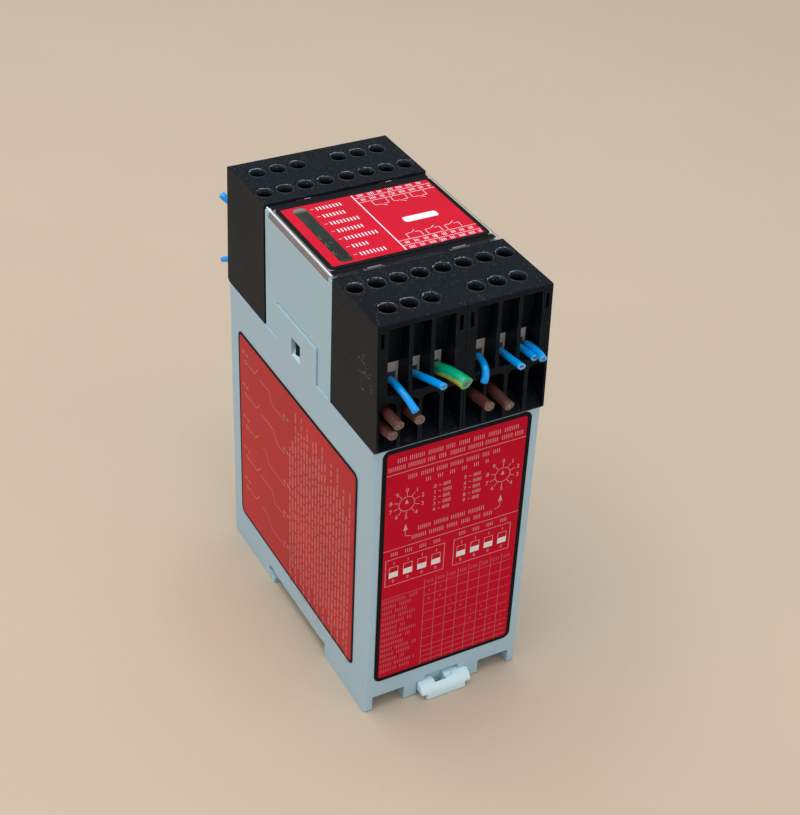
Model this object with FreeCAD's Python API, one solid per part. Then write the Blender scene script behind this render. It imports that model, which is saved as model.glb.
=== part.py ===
import FreeCAD, Part
import math
import os
from FreeCAD import Vector

# Safety relay for a 35 mm top-hat rail, in millimetres.
# Frame: X across the 45 mm module, -Y towards the face with the rail latch, +Z away from the rail.
# The origin is the middle of the flat seat that lies on the rail.

# ---------------------------------------------------------------- housing
module_w = 45.0          # width over the side walls
body_l = 82.8            # length of the lower housing
base_h = 78.9            # rail seat to the top edge of the lower housing
wall = 1.8               # side and end walls of the lower housing
floor_t = 2.0            # floor over the rail
corner_r = 1.0           # upright corners
foot_h = 4.2             # feet below the rail seat
foot_w = 2.4             # thickness of the long foot rails
heel_r = 3.2             # round at the foot end away from the latch
toe_r = 0.6              # round at the foot end by the latch
fit = 0.15               # clearance between parts that slip together
slide_fit = 0.2          # clearance of parts that slide

# ---------------------------------------------------------------- rail slot
rail_w = 35.0
rail_t = 1.0
rail_play = 0.4
rail_offset = -0.65      # rail centre line, towards the latch
hook_reach = 3.2         # fixed hook under the rail flange
hook_rise = 1.4          # slope of the hook's upper face
flange_play = 0.3
slot_lead = 0.8          # chamfer where the rail wall of the slot meets the foot
seat_relief = 0.4        # the ceiling stands back from the seat over the hooks and the latch
seat_margin = 0.2        # seat ends this far before the hook and the latch nose

# ---------------------------------------------------------------- latch bay and latch
guide_in = 7.2           # half width between the latch guides
guide_t = 3.8            # thickness of each guide
lip_w = 1.4              # lips that carry the latch
lip_t = 0.8
lip_gap = 2.6            # rail seat to the upper face of the lips
lip_inset = 1.0
latch_travel = 3.5
latch_plate_t = 2.6
latch_keel_t = 3.8       # thickness of the middle, between the lips
latch_keel_w = 11.2
latch_nose = 1.8         # reach of the nose under the rail flange
pull_out = 3.1           # pull bar beyond the housing face
pull_r = 2.8             # round over the top of the pull bar
pull_lip_h = 2.3         # upper, wider part of the pull bar
pull_gap = 0.2           # pull bar above the bottom of the feet
driver_w = 3.3           # screwdriver hole in the latch
driver_l = 1.6
driver_shift = -1.0
pocket_l = 1.9           # shallow recess beside the screwdriver hole
pocket_deep = 0.5
window_w = 9.8           # slot in the end wall above the latch
window_h = 1.8
window_deep = 1.2
stop_w = 2.8             # spring stop under the floor
stop_t = 1.4
stop_inset = 6.4
stop_h = 2.9
spring_l = 10.0
spring_d = 2.7
spring_wire = 0.4
spring_turns = 6

# ---------------------------------------------------------------- tower
tower_step = 0.4         # tower sides stand in from the lower housing's
tower_l = 37.4
tower_h = 32.7           # step plate to the corner posts
tower_side_t = 2.0
tower_end_t = 1.6
tower_r = 0.5
post_l = 2.2             # corner posts beside the cover
post_h = 1.6             # corner posts above the walls that carry the cover
plate_t = 2.0            # step plate under the terminal blocks
rebate = 0.8             # rebate of the lower housing around the step plate
tongue_w = 22.7          # snap tongue of the lower housing
tongue_h = 10.4
tongue_t = 1.2
tongue_r = 0.6
catch_w = 5.0            # window in the tongue
catch_low = 0.5
catch_h = 5.2
nose_h = 2.4             # snap nose inside the window
ledge_w = 0.6            # ledges that carry the switch board
ledge_t = 1.0

# ---------------------------------------------------------------- clear cover and its label
cover_h = 2.6
cover_slope = 0.9        # lean of the side skirts
cover_t = 1.6
skirt_t = 1.2
tab_w = 5.0
tab_l = 1.7
tab_t = 1.0
leg_t = 1.0
leg_w = 4.0
leg_h = 5.0
label_t = 0.2
cover_label_side = 1.0   # tower side to the label's edge
cover_label_end = 3.1    # tower end to the label's edge
cover_label_r = 1.6
led_inset = 6.4          # tower side to the row of status lights
led_window_w = 3.4
led_window_end = 5.1     # tower end to the window
led_window_r = 1.2

# ---------------------------------------------------------------- housing labels
front_label_side = 2.6   # housing side to the label's edge
front_label_high = 1.5   # label's top edge to the seam
front_label_low = 5.6
front_label_r = 2.0
side_label_end = 6.5     # housing end to the label's edge
side_label_high = 11.1   # label's top edge to the seam
side_label_low = 6.5
side_label_shift = 0.5
side_label_r = 2.0
skin_t = 0.15

# ---------------------------------------------------------------- terminal block
block_gap = 0.2          # between the two blocks of a pair
block_side = 0.2         # block side face inside the module width
block_h = 33.8
block_set = 0.25         # top edge of the wire side behind the lower housing's end
block_lean = 1.3         # the wire side leans out towards the bottom
block_round = 1.2
block_edge = 0.4
row_end = 0.1            # pitch marks to the block's side faces
row_in_depth = 5.65      # inner screws from the block's tower side
row_out_depth = 6.25     # outer screws from the block's wire side
bore_d = 4.7
bore_lead = 0.33         # widening of the bore's mouth
bore_mouth = 5.2         # depth of the wide upper part of the bore
bore_low_d = 4.1
rib_t = 0.9              # ribs between wire entries
chute_rise = 15.1        # floor of the upper wire chutes above the block's underside
lip_h = 1.3              # lip over the chutes
chute_back = 3.1         # depth of a chute under the lip
chute_flare = 0.7        # outer chutes are wider on their outer side
entry_low = 0.8          # floor of the lower entries above the block's underside
entry_high = 13.4        # top of the lower entries above the block's underside
entry_r = 1.6
funnel_l = 8.5
tube_w = 3.6
turn_in = 67             # the slots of neighbouring inner screws differ by this angle
turn_out = 41
turn_bay = 25
code_slot_side = 1.25    # coding slots from the block's side faces
code_slot_w = 1.0
code_slot_h = 4.0
code_slot_drop = 2.2
code_slot_deep = 2.5

# ---------------------------------------------------------------- screws, clamps and contacts
head_d = 3.8
head_h = 1.6
slot_w = 0.7
slot_deep = 0.9
shank_d = 2.8
head_rise_in = 15.5      # seat of the inner screw heads above the block's underside
head_rise_out = 24.5     # seat of the outer screw heads above the block's underside
cage_w = 4.4
cage_wall = 0.6
cage_in_l = 5.3
cage_in_rise = 5.1
cage_in_h = 7.2
cage_in_gap = 4.0
cage_out_l = 4.0
cage_out_rise = 14.5
cage_out_h = 6.1
cage_out_gap = 2.8
cage_floor = 0.8
bar_w = 2.6
bar_t = 0.5
pin_depth = 1.85         # header pins from the block's tower side
pin_t = 0.8
pin_w = 1.0
pin_rise = 8.1           # pin tips above the step plate
pin_room = 0.6           # pin tips to the fork's bridge
leaf_t = 0.4
leaf_w = 1.2
leaf_play = 0.05
leaf_low = 0.7
bridge_t = 0.8
link_t = 0.5
cell_fit = 0.1           # clearance of metal parts in their cells

# ---------------------------------------------------------------- boards and inner parts
board_t = 1.6
board_gap = 1.3          # side wall to the upright boards
guide_rib = 1.0
guide_deep = 2.0
terminal_board_drop = 4.5
switch_board_drop = 14.6
relay_count = 4
relay_x = 15.5
relay_y = 28.0
relay_h = 12.4
relay_low = 6.0
relay_shift = -18.0
core_x = 20.0
core_y = 26.0
core_z = 24.0
coil_x = 14.0
coil_y = 34.0
coil_z = 14.0
core_low = 5.0
core_shift = 17.0
cap_count = 2
cap_d = 11.0
cap_l = 18.0
led_count = 7
led_pitch = 3.9
led_d = 3.0
led_rise = 0.3           # tip of the lights above the cover's seat
led_body = 4.0
led_lead = 0.5
led_lead_gap = 1.27

# ---------------------------------------------------------------- switches under the cover
bank_left = 10.7         # status lights to the middle of the left-hand switches
bank_right = 8.6         # tower's inner side to the middle of the right-hand switches
dip_y = -7.5
dip_count = 4
dip_pitch = 2.54
dip_w = 11.7
dip_l = 9.9
dip_h = 4.6
dip_slot_l = 3.6
dip_slot_w = 1.5
dip_skin = 0.6
dip_room_l = 4.6
dip_room_w = 2.1
dip_room_h = 1.2
knob_l = 1.4
knob_proud = 0.7
foot_l = 2.2
foot_t = 0.8
rotary_y = 8.0
rotary_side = 10.0
rotary_h = 5.0
rotor_d = 5.6
rotor_fit = 0.25
rotor_deep = 2.2
rotor_proud = 0.3
rotor_slot_w = 0.8
rotor_slot_deep = 0.8
rotor_slot_l = 4.4

# ---------------------------------------------------------------- wires
blue_d = 2.2
brown_d = 2.9
earth_d = 3.5
core_share = 0.45        # core diameter over wire diameter
strip_l = 3.0            # bare end inside the clamp
bend_share = 0.45        # bend radius over the shorter run beside it

# ---------------------------------------------------------------- worked-out values
half_w = module_w / 2
half_l = body_l / 2
end_inner = half_l - wall
slot_far = rail_offset + (rail_w + rail_play) / 2
slot_near = rail_offset - (rail_w + rail_play) / 2
seat_far = slot_far - hook_reach - seat_margin
seat_near = slot_near - slide_fit + latch_nose + seat_margin
hook_gap = rail_t + flange_play
guide_out = guide_in + guide_t
latch_half_w = guide_in - slide_fit
tower_half_w = half_w - tower_step
tower_half_l = tower_l / 2
tower_top = base_h + tower_h
cover_seat = tower_top - post_h
cover_top = cover_seat + cover_h
cover_half_l = tower_half_l - post_l - fit / 2
label_half_w = tower_half_w - cover_label_side
label_half_l = tower_half_l - cover_label_end
led_x = -tower_half_w + led_inset
led_window_half_l = tower_half_l - led_window_end
tongue_face = half_w - tongue_t - fit
block_w = half_w - block_side - block_gap / 2
block_x = (half_w - block_side + block_gap / 2) / 2
block_inner = tower_half_l + fit
block_front = half_l - block_set
block_top = base_h + block_h
pitch = (block_w - 2 * row_end) / 4
tab_x = block_x
screw_row_in = block_inner + row_in_depth
screw_row_out = block_front - row_out_depth
chute_low = base_h + chute_rise
entry_top = base_h + entry_high
head_seat_in = base_h + head_rise_in
head_seat_out = base_h + head_rise_out
cage_in_low = base_h + cage_in_rise
cage_out_low = base_h + cage_out_rise
pin_row = block_inner + pin_depth
pin_top = base_h + pin_rise
board_out = half_w - wall - board_gap
board_in = board_out - board_t
board_x = (board_in + board_out) / 2
terminal_board_z = base_h - terminal_board_drop - plate_t
terminal_board_in = tower_half_l - ledge_w + cell_fit
board_low_top = terminal_board_z - fit
switch_board_z = tower_top - switch_board_drop
relay_pitch = (terminal_board_z - relay_low) / relay_count
core_top = core_low + core_z
cap_pitch = (terminal_board_z - core_top) / (cap_count + 1)
led_top = cover_seat + led_rise
switch_x = (led_x + bank_left, tower_half_w - tower_side_t - bank_right)
row_out = [(i - 1) * pitch for i in range(3)]
row_in = [(i - 1.5) * pitch for i in range(4)]
bays = {
    "near_left": (-block_x, 0),
    "near_right": (block_x, 0),
    "far_left": (-block_x, 180),
    "far_right": (block_x, 180),
}
out_clamp = (screw_row_out, cage_out_l, cage_out_low, cage_out_gap)
in_clamp = (screw_row_in, cage_in_l, cage_in_low, cage_in_gap)

nodes = {}
covers = {}
cores = {}


# ================================================================ building tools
def box(x, y, z):
    return Part.makeBox(x[1] - x[0], y[1] - y[0], z[1] - z[0], Vector(x[0], y[0], z[0]))


def both(half):
    return (-half, half)


def around(middle, size):
    return (middle - size / 2, middle + size / 2)


def rod(diameter, start, end):
    axis = Vector(*end) - Vector(*start)
    return Part.makeCylinder(diameter / 2, axis.Length, Vector(*start), axis)


def unit(a, b):
    length = math.hypot(b[0] - a[0], b[1] - a[1])
    return ((b[0] - a[0]) / length, (b[1] - a[1]) / length)


def outline(points, place, radii=None):
    """A flat face with the given corners, each rounded by its own radius."""
    radii = radii or [0] * len(points)
    marks = []
    for i, corner in enumerate(points):
        back = unit(corner, points[i - 1])
        ahead = unit(corner, points[(i + 1) % len(points)])
        if radii[i] <= 0:
            marks.append((corner, corner, corner))
            continue
        cosine = back[0] * ahead[0] + back[1] * ahead[1]
        half_angle = math.acos(cosine) / 2
        reach = radii[i] / math.tan(half_angle)
        start = (corner[0] + back[0] * reach, corner[1] + back[1] * reach)
        end = (corner[0] + ahead[0] * reach, corner[1] + ahead[1] * reach)
        middle = ((start[0] + end[0]) / 2, (start[1] + end[1]) / 2)
        inward = unit(corner, middle)
        depth = radii[i] / math.sin(half_angle) - radii[i]
        crown = (corner[0] + inward[0] * depth, corner[1] + inward[1] * depth)
        marks.append((start, crown, end))
    edges = []
    for i, (start, crown, end) in enumerate(marks):
        if start != end:
            edges.append(Part.Arc(place(start), place(crown), place(end)).toShape())
        follower = marks[(i + 1) % len(marks)][0]
        edges.append(Part.LineSegment(place(end), place(follower)).toShape())
    return Part.Face(Part.Wire(edges))


def prism_x(points, x, radii=None):
    face = outline(points, lambda p: Vector(x[0], p[0], p[1]), radii)
    return face.extrude(Vector(x[1] - x[0], 0, 0))


def prism_y(points, y, radii=None):
    face = outline(points, lambda p: Vector(p[0], y[0], p[1]), radii)
    return face.extrude(Vector(0, y[1] - y[0], 0))


def prism_z(points, z, radii=None):
    face = outline(points, lambda p: Vector(p[0], p[1], z[0]), radii)
    return face.extrude(Vector(0, 0, z[1] - z[0]))


def corners(u, v):
    return [(u[0], v[0]), (u[1], v[0]), (u[1], v[1]), (u[0], v[1])]


def fuse(shapes):
    first, rest = shapes[0], shapes[1:]
    return first.fuse(rest).removeSplitter() if rest else first


def cut(shape, tools):
    return shape.cut(tools).removeSplitter()


def mirror_x(shape):
    return shape.mirror(Vector(0, 0, 0), Vector(1, 0, 0))


def in_bay(shape, bay):
    """Moves a shape drawn for the latch side, on the middle plane, into one of the four bays."""
    shift, turn = bays[bay]
    moved = shape.copy()
    moved.rotate(Vector(0, 0, 0), Vector(0, 0, 1), turn)
    moved.translate(Vector(shift, 0, 0))
    return moved


def group(shapes):
    return Part.makeCompound(shapes)


# ================================================================ lower housing
def rail_slot():
    below = -foot_h - 1
    profile = [
        (slot_near - slot_lead, below),
        (slot_near - slot_lead, -foot_h),
        (slot_near, -foot_h + slot_lead),
        (slot_near, seat_relief),
        (seat_near, seat_relief),
        (seat_near, 0),
        (seat_far, 0),
        (seat_far, seat_relief),
        (slot_far, seat_relief),
        (slot_far, -hook_gap),
        (slot_far - hook_reach, -hook_gap - hook_rise),
        (slot_far - hook_reach, below),
    ]
    return prism_x(profile, both(half_w + 1))


def underside_pockets():
    """The hollows between foot rails, latch guides and hook ribs."""
    below = (-foot_h - 1, seat_relief)
    side = (guide_out, half_w - foot_w)
    near = (-half_l - 1, seat_near)
    far = (seat_far, half_l - wall)
    spans = [side, (-side[1], -side[0]), both(guide_in)]
    return [box(span, run, below) for span in spans for run in (near, far)]


def latch_lips():
    run = (-half_l + lip_inset, slot_near - lip_inset)
    height = (-lip_gap - lip_t, -lip_gap)
    right = box((guide_in - lip_w, guide_in + 0.1), run, height)
    return [right, mirror_x(right)]


def spring_stop():
    run = (-half_l + stop_inset, -half_l + stop_inset + stop_t)
    return box(both(stop_w / 2), run, (-stop_h, 0.5))


def board_guides():
    """Upright ribs at the end walls that hold the two boards."""
    ribs = []
    height = (floor_t - 0.5, board_low_top)
    inner = (board_in - fit - guide_rib, board_in - fit)
    outer = (board_out + fit, half_w - wall + 0.5)
    for end in ((-end_inner - 0.5, -end_inner + guide_deep), (end_inner - guide_deep, end_inner + 0.5)):
        for span in (inner, outer):
            rib = box(span, end, height)
            ribs += [rib, mirror_x(rib)]
    return ribs


def tongue():
    """Right-hand snap tongue with its window."""
    top = base_h + tongue_h
    plate = prism_x(corners(both(tongue_w / 2), (base_h - 2, top)),
                    (half_w - tongue_t, half_w), [0, 0, tongue_r, tongue_r])
    low = base_h + catch_low
    window = box((half_w - tongue_t - 1, half_w + 1), both(catch_w / 2), (low, low + catch_h))
    return plate, window


def base_housing():
    side_view = prism_x(corners(both(half_l), (-foot_h, base_h)), both(half_w),
                        [toe_r, heel_r, 0, 0])
    plan = prism_z(corners(both(half_w), both(half_l)), (-foot_h, base_h), [corner_r] * 4)
    hollow = box(both(half_w - wall), both(end_inner), (floor_t, base_h + 1))
    seat = box(both(half_w - wall + rebate), both(end_inner + rebate), (base_h - plate_t, base_h + 1))
    window = box(both(window_w / 2), (-half_l - 1, -half_l + window_deep), (0, window_h))
    shell = cut(side_view.common(plan), [hollow, seat, rail_slot(), window] + underside_pockets())
    plate, catch = tongue()
    added = [plate, mirror_x(plate), spring_stop()] + latch_lips() + board_guides()
    return cut(fuse([shell] + added), [catch, mirror_x(catch)])


# ================================================================ rail latch and spring
def rail_latch():
    top = seat_relief - slide_fit
    near_end = -half_l
    inner_end = slot_near - slide_fit
    plate = box(both(latch_half_w), (near_end - 0.5, inner_end), (top - latch_plate_t, top))
    keel_low = top - latch_keel_t
    keel_half = latch_keel_w / 2
    keel = box(both(keel_half), (near_end - 0.5, inner_end), (keel_low, top))
    nose_top = -rail_t - slide_fit
    nose = prism_x([(inner_end - 1, keel_low), (inner_end, keel_low), (inner_end + latch_nose, nose_top - 0.8),
                    (inner_end + latch_nose, nose_top), (inner_end - 1, nose_top)], both(keel_half))
    pull_face = near_end - pull_out
    pull_low = -foot_h + pull_gap
    pull_side = [(pull_face, pull_low), (near_end - slide_fit, pull_low), (near_end - slide_fit, top),
                 (pull_face, top)]
    pull = prism_x(pull_side, both(guide_in), [0, 0, 0, pull_r])
    under = (pull_low - 1, top - pull_lip_h)
    notch = box((keel_half, guide_in + 1), (pull_face - 1, near_end + 1), under)
    trims = [notch, mirror_x(notch)]
    driver_y = (near_end - driver_l, near_end + driver_l)
    driver_x = around(driver_shift, driver_w)
    trims.append(box(driver_x, driver_y, (pull_low - 1, 1)))
    pocket_x = (driver_x[1] - 0.1, driver_x[1] + pocket_l)
    trims.append(box(pocket_x, (near_end - driver_l + 0.4, near_end), (top - pocket_deep, 1)))
    stop_y = -half_l + stop_inset
    room_y = (stop_y - fit, stop_y + stop_t + spring_l + fit)
    trims.append(box(both(stop_w / 2 + slide_fit), room_y, (-stop_h - slide_fit, 1)))
    body = fuse([plate, keel, nose, pull])
    return cut(body, trims)


def latch_spring():
    start = -half_l + stop_inset + stop_t
    radius = (spring_d - spring_wire) / 2
    middle = -slide_fit - spring_wire / 2 - radius
    climb = (spring_l - spring_wire) / spring_turns
    helix = Part.makeHelix(climb, spring_l - spring_wire, radius)
    section = Part.Wire(Part.makeCircle(spring_wire / 2, Vector(radius, 0, 0), Vector(0, 1, 0)))
    coil = Part.Wire(helix.Edges).makePipeShell([section], True, True)
    coil.rotate(Vector(0, 0, 0), Vector(1, 0, 0), -90)
    coil.translate(Vector(0, start + spring_wire / 2, middle))
    return coil


# ================================================================ upper housing
def snap_nose():
    """Right-hand wedge that stands in the tongue's window."""
    low = base_h + catch_low + fit
    crest = half_w - fit
    profile = [(tongue_face - 0.5, low), (crest, low), (crest, low + 0.3), (tongue_face, low + nose_h),
               (tongue_face - 0.5, low + nose_h)]
    return prism_y(profile, both(catch_w / 2 - fit))


def top_housing():
    low = base_h - plate_t
    plate = box(both(half_w - wall + rebate - fit), both(end_inner + rebate - fit), (low, base_h))
    tower = prism_z(corners(both(tower_half_w), both(tower_half_l)), (base_h, tower_top), [tower_r] * 4)
    room = (both(tower_half_w - tower_side_t), both(tower_half_l - tower_end_t))
    hollow = box(room[0], room[1], (low - 1, tower_top + 1))
    notch = box(both(half_w), both(tower_half_l - post_l), (cover_seat, tower_top + 1))
    recess = box((tongue_face, half_w + 1), both(tongue_w / 2 + fit), (low - 1, base_h + tongue_h + fit))
    catch_z = base_h + catch_low
    hole = box((tongue_face - tower_side_t, half_w), both(catch_w / 2),
               (catch_z + nose_h + fit, catch_z + catch_h))
    tools = [hollow, notch, recess, mirror_x(recess), hole, mirror_x(hole)]
    slot = box(both(row_in[-1] + pitch / 4), around(-pin_row, pin_w + 2 * fit + leaf_t), (low - 1, base_h + 1))
    tools += [in_bay(slot, bay) for bay in bays]
    ledge_x = (tower_half_w - tower_side_t - ledge_w, tower_half_w - tower_side_t + 0.2)
    ledge = box(ledge_x, room[1], (switch_board_z - ledge_t, switch_board_z))
    nose = snap_nose()
    return fuse([cut(fuse([plate, tower]), tools), nose, mirror_x(nose), ledge, mirror_x(ledge)])


# ================================================================ clear cover, labels
def clear_cover():
    foot, crown = tower_half_w, tower_half_w - cover_slope
    under = cover_top - cover_t
    section = [(-foot, cover_seat), (-foot + skirt_t, cover_seat), (-foot + skirt_t, under),
               (foot - skirt_t, under), (foot - skirt_t, cover_seat), (foot, cover_seat),
               (crown, cover_top), (-crown, cover_top)]
    lid = prism_y(section, both(cover_half_l), [0, 0, 0, 0, 0, 0, 0.4, 0.4])
    leg_y = tower_half_l - tower_end_t - fit
    pieces = [lid]
    for side in (-1, 1):
        for end in (-1, 1):
            span = around(side * tab_x, tab_w)
            tab_y = sorted((end * (cover_half_l - 0.5), end * (cover_half_l + tab_l)))
            pieces.append(box(span, tab_y, (cover_top - tab_t + label_t / 2, cover_top)))
            run = sorted((end * leg_y, end * (leg_y - leg_t)))
            pieces.append(box(around(side * tab_x, leg_w), run, (under - leg_h, under + 0.5)))
    return fuse(pieces)


def led_window_outline(grow):
    x = around(led_x, led_window_w - 2 * grow)
    y = both(led_window_half_l - grow)
    return corners(x, y), [led_window_r - grow] * 4


def cover_label():
    sheet = prism_z(corners(both(label_half_w), both(label_half_l)),
                    (cover_top, cover_top + label_t), [cover_label_r] * 4)
    points, radii = led_window_outline(0)
    return cut(sheet, [prism_z(points, (cover_top - 1, cover_top + 1), radii)])


def led_window():
    points, radii = led_window_outline(0.03)
    return prism_z(points, (cover_top, cover_top + label_t), radii)


def front_label():
    height = (front_label_low, base_h - front_label_high)
    return prism_y(corners(both(half_w - front_label_side), height), (-half_l - skin_t, -half_l),
                   [front_label_r] * 4)


def side_label():
    height = (side_label_low, base_h - side_label_high)
    run = around(side_label_shift, body_l - 2 * side_label_end)
    return prism_x(corners(run, height),
                   (-half_w - skin_t, -half_w), [side_label_r] * 4)


# ================================================================ terminal block
def front_at(z):
    """Outer face of the wire side at a height."""
    return -block_front - block_lean * (block_top - z) / block_h


def cage(x, row, length, low, height, gap):
    """Cage clamp: a square loop with a thick, threaded top."""
    y = around(-row, length)
    body = box(around(x, cage_w), y, (low, low + height))
    mouth = box(around(x, cage_w - 2 * cage_wall), (y[0] - 1, y[1] + 1),
                (low + cage_floor, low + cage_floor + gap))
    thread = rod(shank_d + 0.1, (x, -row, low + cage_floor + gap - 0.1), (x, -row, low + height + 1))
    return cut(body, [mouth, thread])


def cage_cell(x, row, length, low, height):
    y = around(-row, length + 2 * cell_fit)
    return box(around(x, cage_w + 2 * cell_fit), y, (low - cell_fit, low + height + cell_fit))


def screw_bore(x, row, seat, end):
    """Bore from the block's top: wide mouth, head room, and shank hole down to the cage."""
    lead = Part.makeCone(bore_d / 2, bore_d / 2 + bore_lead, bore_lead,
                         Vector(x, -row, block_top - bore_lead), Vector(0, 0, 1))
    mouth = rod(bore_d, (x, -row, block_top - bore_mouth), (x, -row, block_top + 1))
    room = rod(bore_low_d, (x, -row, seat), (x, -row, block_top))
    hole = rod(shank_d + 2 * cell_fit, (x, -row, end - 0.5), (x, -row, seat + 0.5))
    return [lead, mouth, room, hole]


def chute(x, flare):
    """Upper wire chute, open to the wire side, with a back that slopes in towards the clamp."""
    half = (pitch - rib_t) / 2
    span = (x - half - max(-flare, 0), x + half + max(flare, 0))
    outside = -block_front - block_lean - 1
    back_low = -screw_row_out - cage_out_l / 2 - cell_fit
    back_top = -block_front + chute_back
    cage_top = cage_out_low + cage_out_h + cell_fit
    profile = [(outside, chute_low), (back_low, chute_low), (back_low, cage_top),
               (back_top, block_top - lip_h), (outside, block_top - lip_h)]
    return prism_x(profile, span)


def entry(x):
    """Lower wire entry: a tall arch that funnels down to the clamp."""
    floor = base_h + entry_low
    half = (pitch - rib_t) / 2
    low = cage_in_low + cage_floor
    high = low + cage_in_gap
    neck = front_at(floor) + funnel_l
    back = -screw_row_in - cage_in_l / 2
    outside = front_at(base_h) - 1
    side = prism_x([(outside, floor), (front_at(floor), floor), (neck, low), (neck + 0.5, low),
                    (neck + 0.5, high), (neck, high), (front_at(entry_top), entry_top),
                    (outside, entry_top)], around(x, 2 * half))
    arch = prism_y(corners(around(x, 2 * half), (floor, entry_top)), (outside, neck + 1),
                   [0, 0, entry_r, entry_r])
    tube = box(around(x, tube_w), (neck, back), (low, high))
    return [side.common(arch), tube]


def fork_cell(x):
    width = pin_t + 2 * (leaf_play + leaf_t + cell_fit)
    top = pin_top + bridge_t + pin_room + cell_fit
    return box(around(x, width), around(-pin_row, leaf_w + 2 * cell_fit), (base_h - 1, top))


def bar_cell(x):
    """Way from a lower clamp to its fork."""
    high = cage_in_low + cage_floor + cage_in_gap
    back = -screw_row_in + cage_in_l / 2
    return box(around(x, bar_w + 2 * cell_fit), (back - 0.1, -pin_row + leaf_w / 2 + cell_fit),
               (high - bar_t - 3 * cell_fit, high))


def link_cell(x):
    """Narrow way from an upper clamp, between the lower screw bores, to its fork."""
    high = cage_out_low + cage_floor + cage_out_gap
    span = around(x, link_t + 2 * cell_fit)
    rear = -pin_row + leaf_w / 2 + cell_fit
    flat = box(span, (-screw_row_out + cage_out_l / 2 - 0.1, rear), (high - leaf_w - cell_fit, high))
    drop = box(span, (-pin_row - leaf_w / 2 - cell_fit, rear), (pin_top, high))
    return [flat, drop]


def code_slots():
    top = block_top - code_slot_drop
    z = (top - code_slot_h, top)
    y = (-block_front - block_lean - 1, -block_front + code_slot_deep)
    right = box(around(block_w / 2 - code_slot_side, code_slot_w), y, z)
    return [right, mirror_x(right)]


def terminal_block():
    profile = [(-block_inner, base_h), (-block_inner, block_top), (front_at(block_top), block_top),
               (front_at(base_h), base_h)]
    body = prism_x(profile, both(block_w / 2), [0, 0, block_edge, block_round])
    tools = code_slots()
    for x in row_in:
        tools += screw_bore(x, screw_row_in, head_seat_in, cage_in_low + cage_in_h)
        tools += entry(x)
        tools += [cage_cell(x, screw_row_in, cage_in_l, cage_in_low, cage_in_h), fork_cell(x), bar_cell(x)]
    for x in row_out:
        tools += screw_bore(x, screw_row_out, head_seat_out, cage_out_low + cage_out_h)
        tools += [chute(x, chute_flare * (x > 0) - chute_flare * (x < 0))]
        tools += [cage_cell(x, screw_row_out, cage_out_l, cage_out_low, cage_out_h), fork_cell(x)]
        tools += link_cell(x)
    return cut(body, tools)


# ================================================================ screws, clamps, contacts
def clamp_screw(x, row, seat, tip, turn):
    head = rod(head_d, (x, -row, seat), (x, -row, seat + head_h))
    shank = rod(shank_d, (x, -row, tip), (x, -row, seat + 0.2))
    groove = box(both(head_d), both(slot_w / 2), (seat + head_h - slot_deep, seat + head_h + 1))
    groove.rotate(Vector(0, 0, 0), Vector(0, 0, 1), turn)
    groove.translate(Vector(x, -row, 0))
    return cut(fuse([head, shank]), [groove])


def clamp_screws(start):
    tip_in = cage_in_low + cage_floor + cage_in_gap
    tip_out = cage_out_low + cage_floor + cage_out_gap
    screws = []
    for i, x in enumerate(row_in):
        screws.append(clamp_screw(x, screw_row_in, head_seat_in, tip_in, start + turn_in * i))
    for i, x in enumerate(row_out):
        screws.append(clamp_screw(x, screw_row_out, head_seat_out, tip_out, start + turn_out * (i + 0.5)))
    return group(screws)


def wire_clamps():
    cages = [cage(x, screw_row_in, cage_in_l, cage_in_low, cage_in_h, cage_in_gap) for x in row_in]
    cages += [cage(x, screw_row_out, cage_out_l, cage_out_low, cage_out_h, cage_out_gap)
              for x in row_out]
    return group(cages)


def fork(x):
    """Two leaves joined above the header pin."""
    y = around(-pin_row, leaf_w)
    low = base_h + leaf_low
    bridge_low = pin_top + pin_room
    inner = pin_t / 2 + leaf_play
    leaves = [box((x + inner, x + inner + leaf_t), y, (low, bridge_low + bridge_t)),
              box((x - inner - leaf_t, x - inner), y, (low, bridge_low + bridge_t))]
    bridge = box((x - inner - leaf_t, x + inner + leaf_t), y, (bridge_low, bridge_low + bridge_t))
    return leaves + [bridge]


def lower_contact(x):
    high = cage_in_low + cage_floor + cage_in_gap - cell_fit
    y = (-screw_row_in - cage_in_l / 2, -pin_row + leaf_w / 2)
    return fuse(fork(x) + [box(around(x, bar_w), y, (high - bar_t, high))])


def upper_contact(x):
    high = cage_out_low + cage_floor + cage_out_gap - cell_fit
    front = -screw_row_out - cage_out_l / 2 + cage_wall
    back = -screw_row_out + cage_out_l / 2
    bar = box(around(x, bar_w), (front, back), (high - bar_t, high))
    rear = -pin_row + leaf_w / 2
    flat = box(around(x, link_t), (back - 0.5, rear), (high - leaf_w, high))
    drop = box(around(x, link_t), (-pin_row - leaf_w / 2, rear), (pin_top + pin_room, high))
    return fuse(fork(x) + [bar, flat, drop])


def contacts():
    return group([lower_contact(x) for x in row_in] + [upper_contact(x) for x in row_out])


# ================================================================ boards and what they carry
def upright_board(side):
    """Board across the module: wide in the lower housing, narrow in the tower."""
    wide = end_inner - fit
    narrow = tower_half_l - tower_end_t - fit
    top = switch_board_z - fit
    profile = [(-wide, floor_t), (wide, floor_t), (wide, board_low_top), (narrow, board_low_top),
               (narrow, top), (-narrow, top), (-narrow, board_low_top), (-wide, board_low_top)]
    return prism_x(profile, around(side * board_x, board_t))


def terminal_boards():
    x = both(half_w - wall - fit)
    z = (terminal_board_z, terminal_board_z + board_t)
    return group([box(x, sorted((end * terminal_board_in, end * (end_inner - fit))), z)
                  for end in (-1, 1)])


def header_pins():
    z = (terminal_board_z + board_t, pin_top)
    pins = [box(around(x, pin_t), around(-pin_row, pin_w), z) for x in sorted(row_in + row_out)]
    return group([in_bay(pin, bay) for bay in bays for pin in pins])


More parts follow.
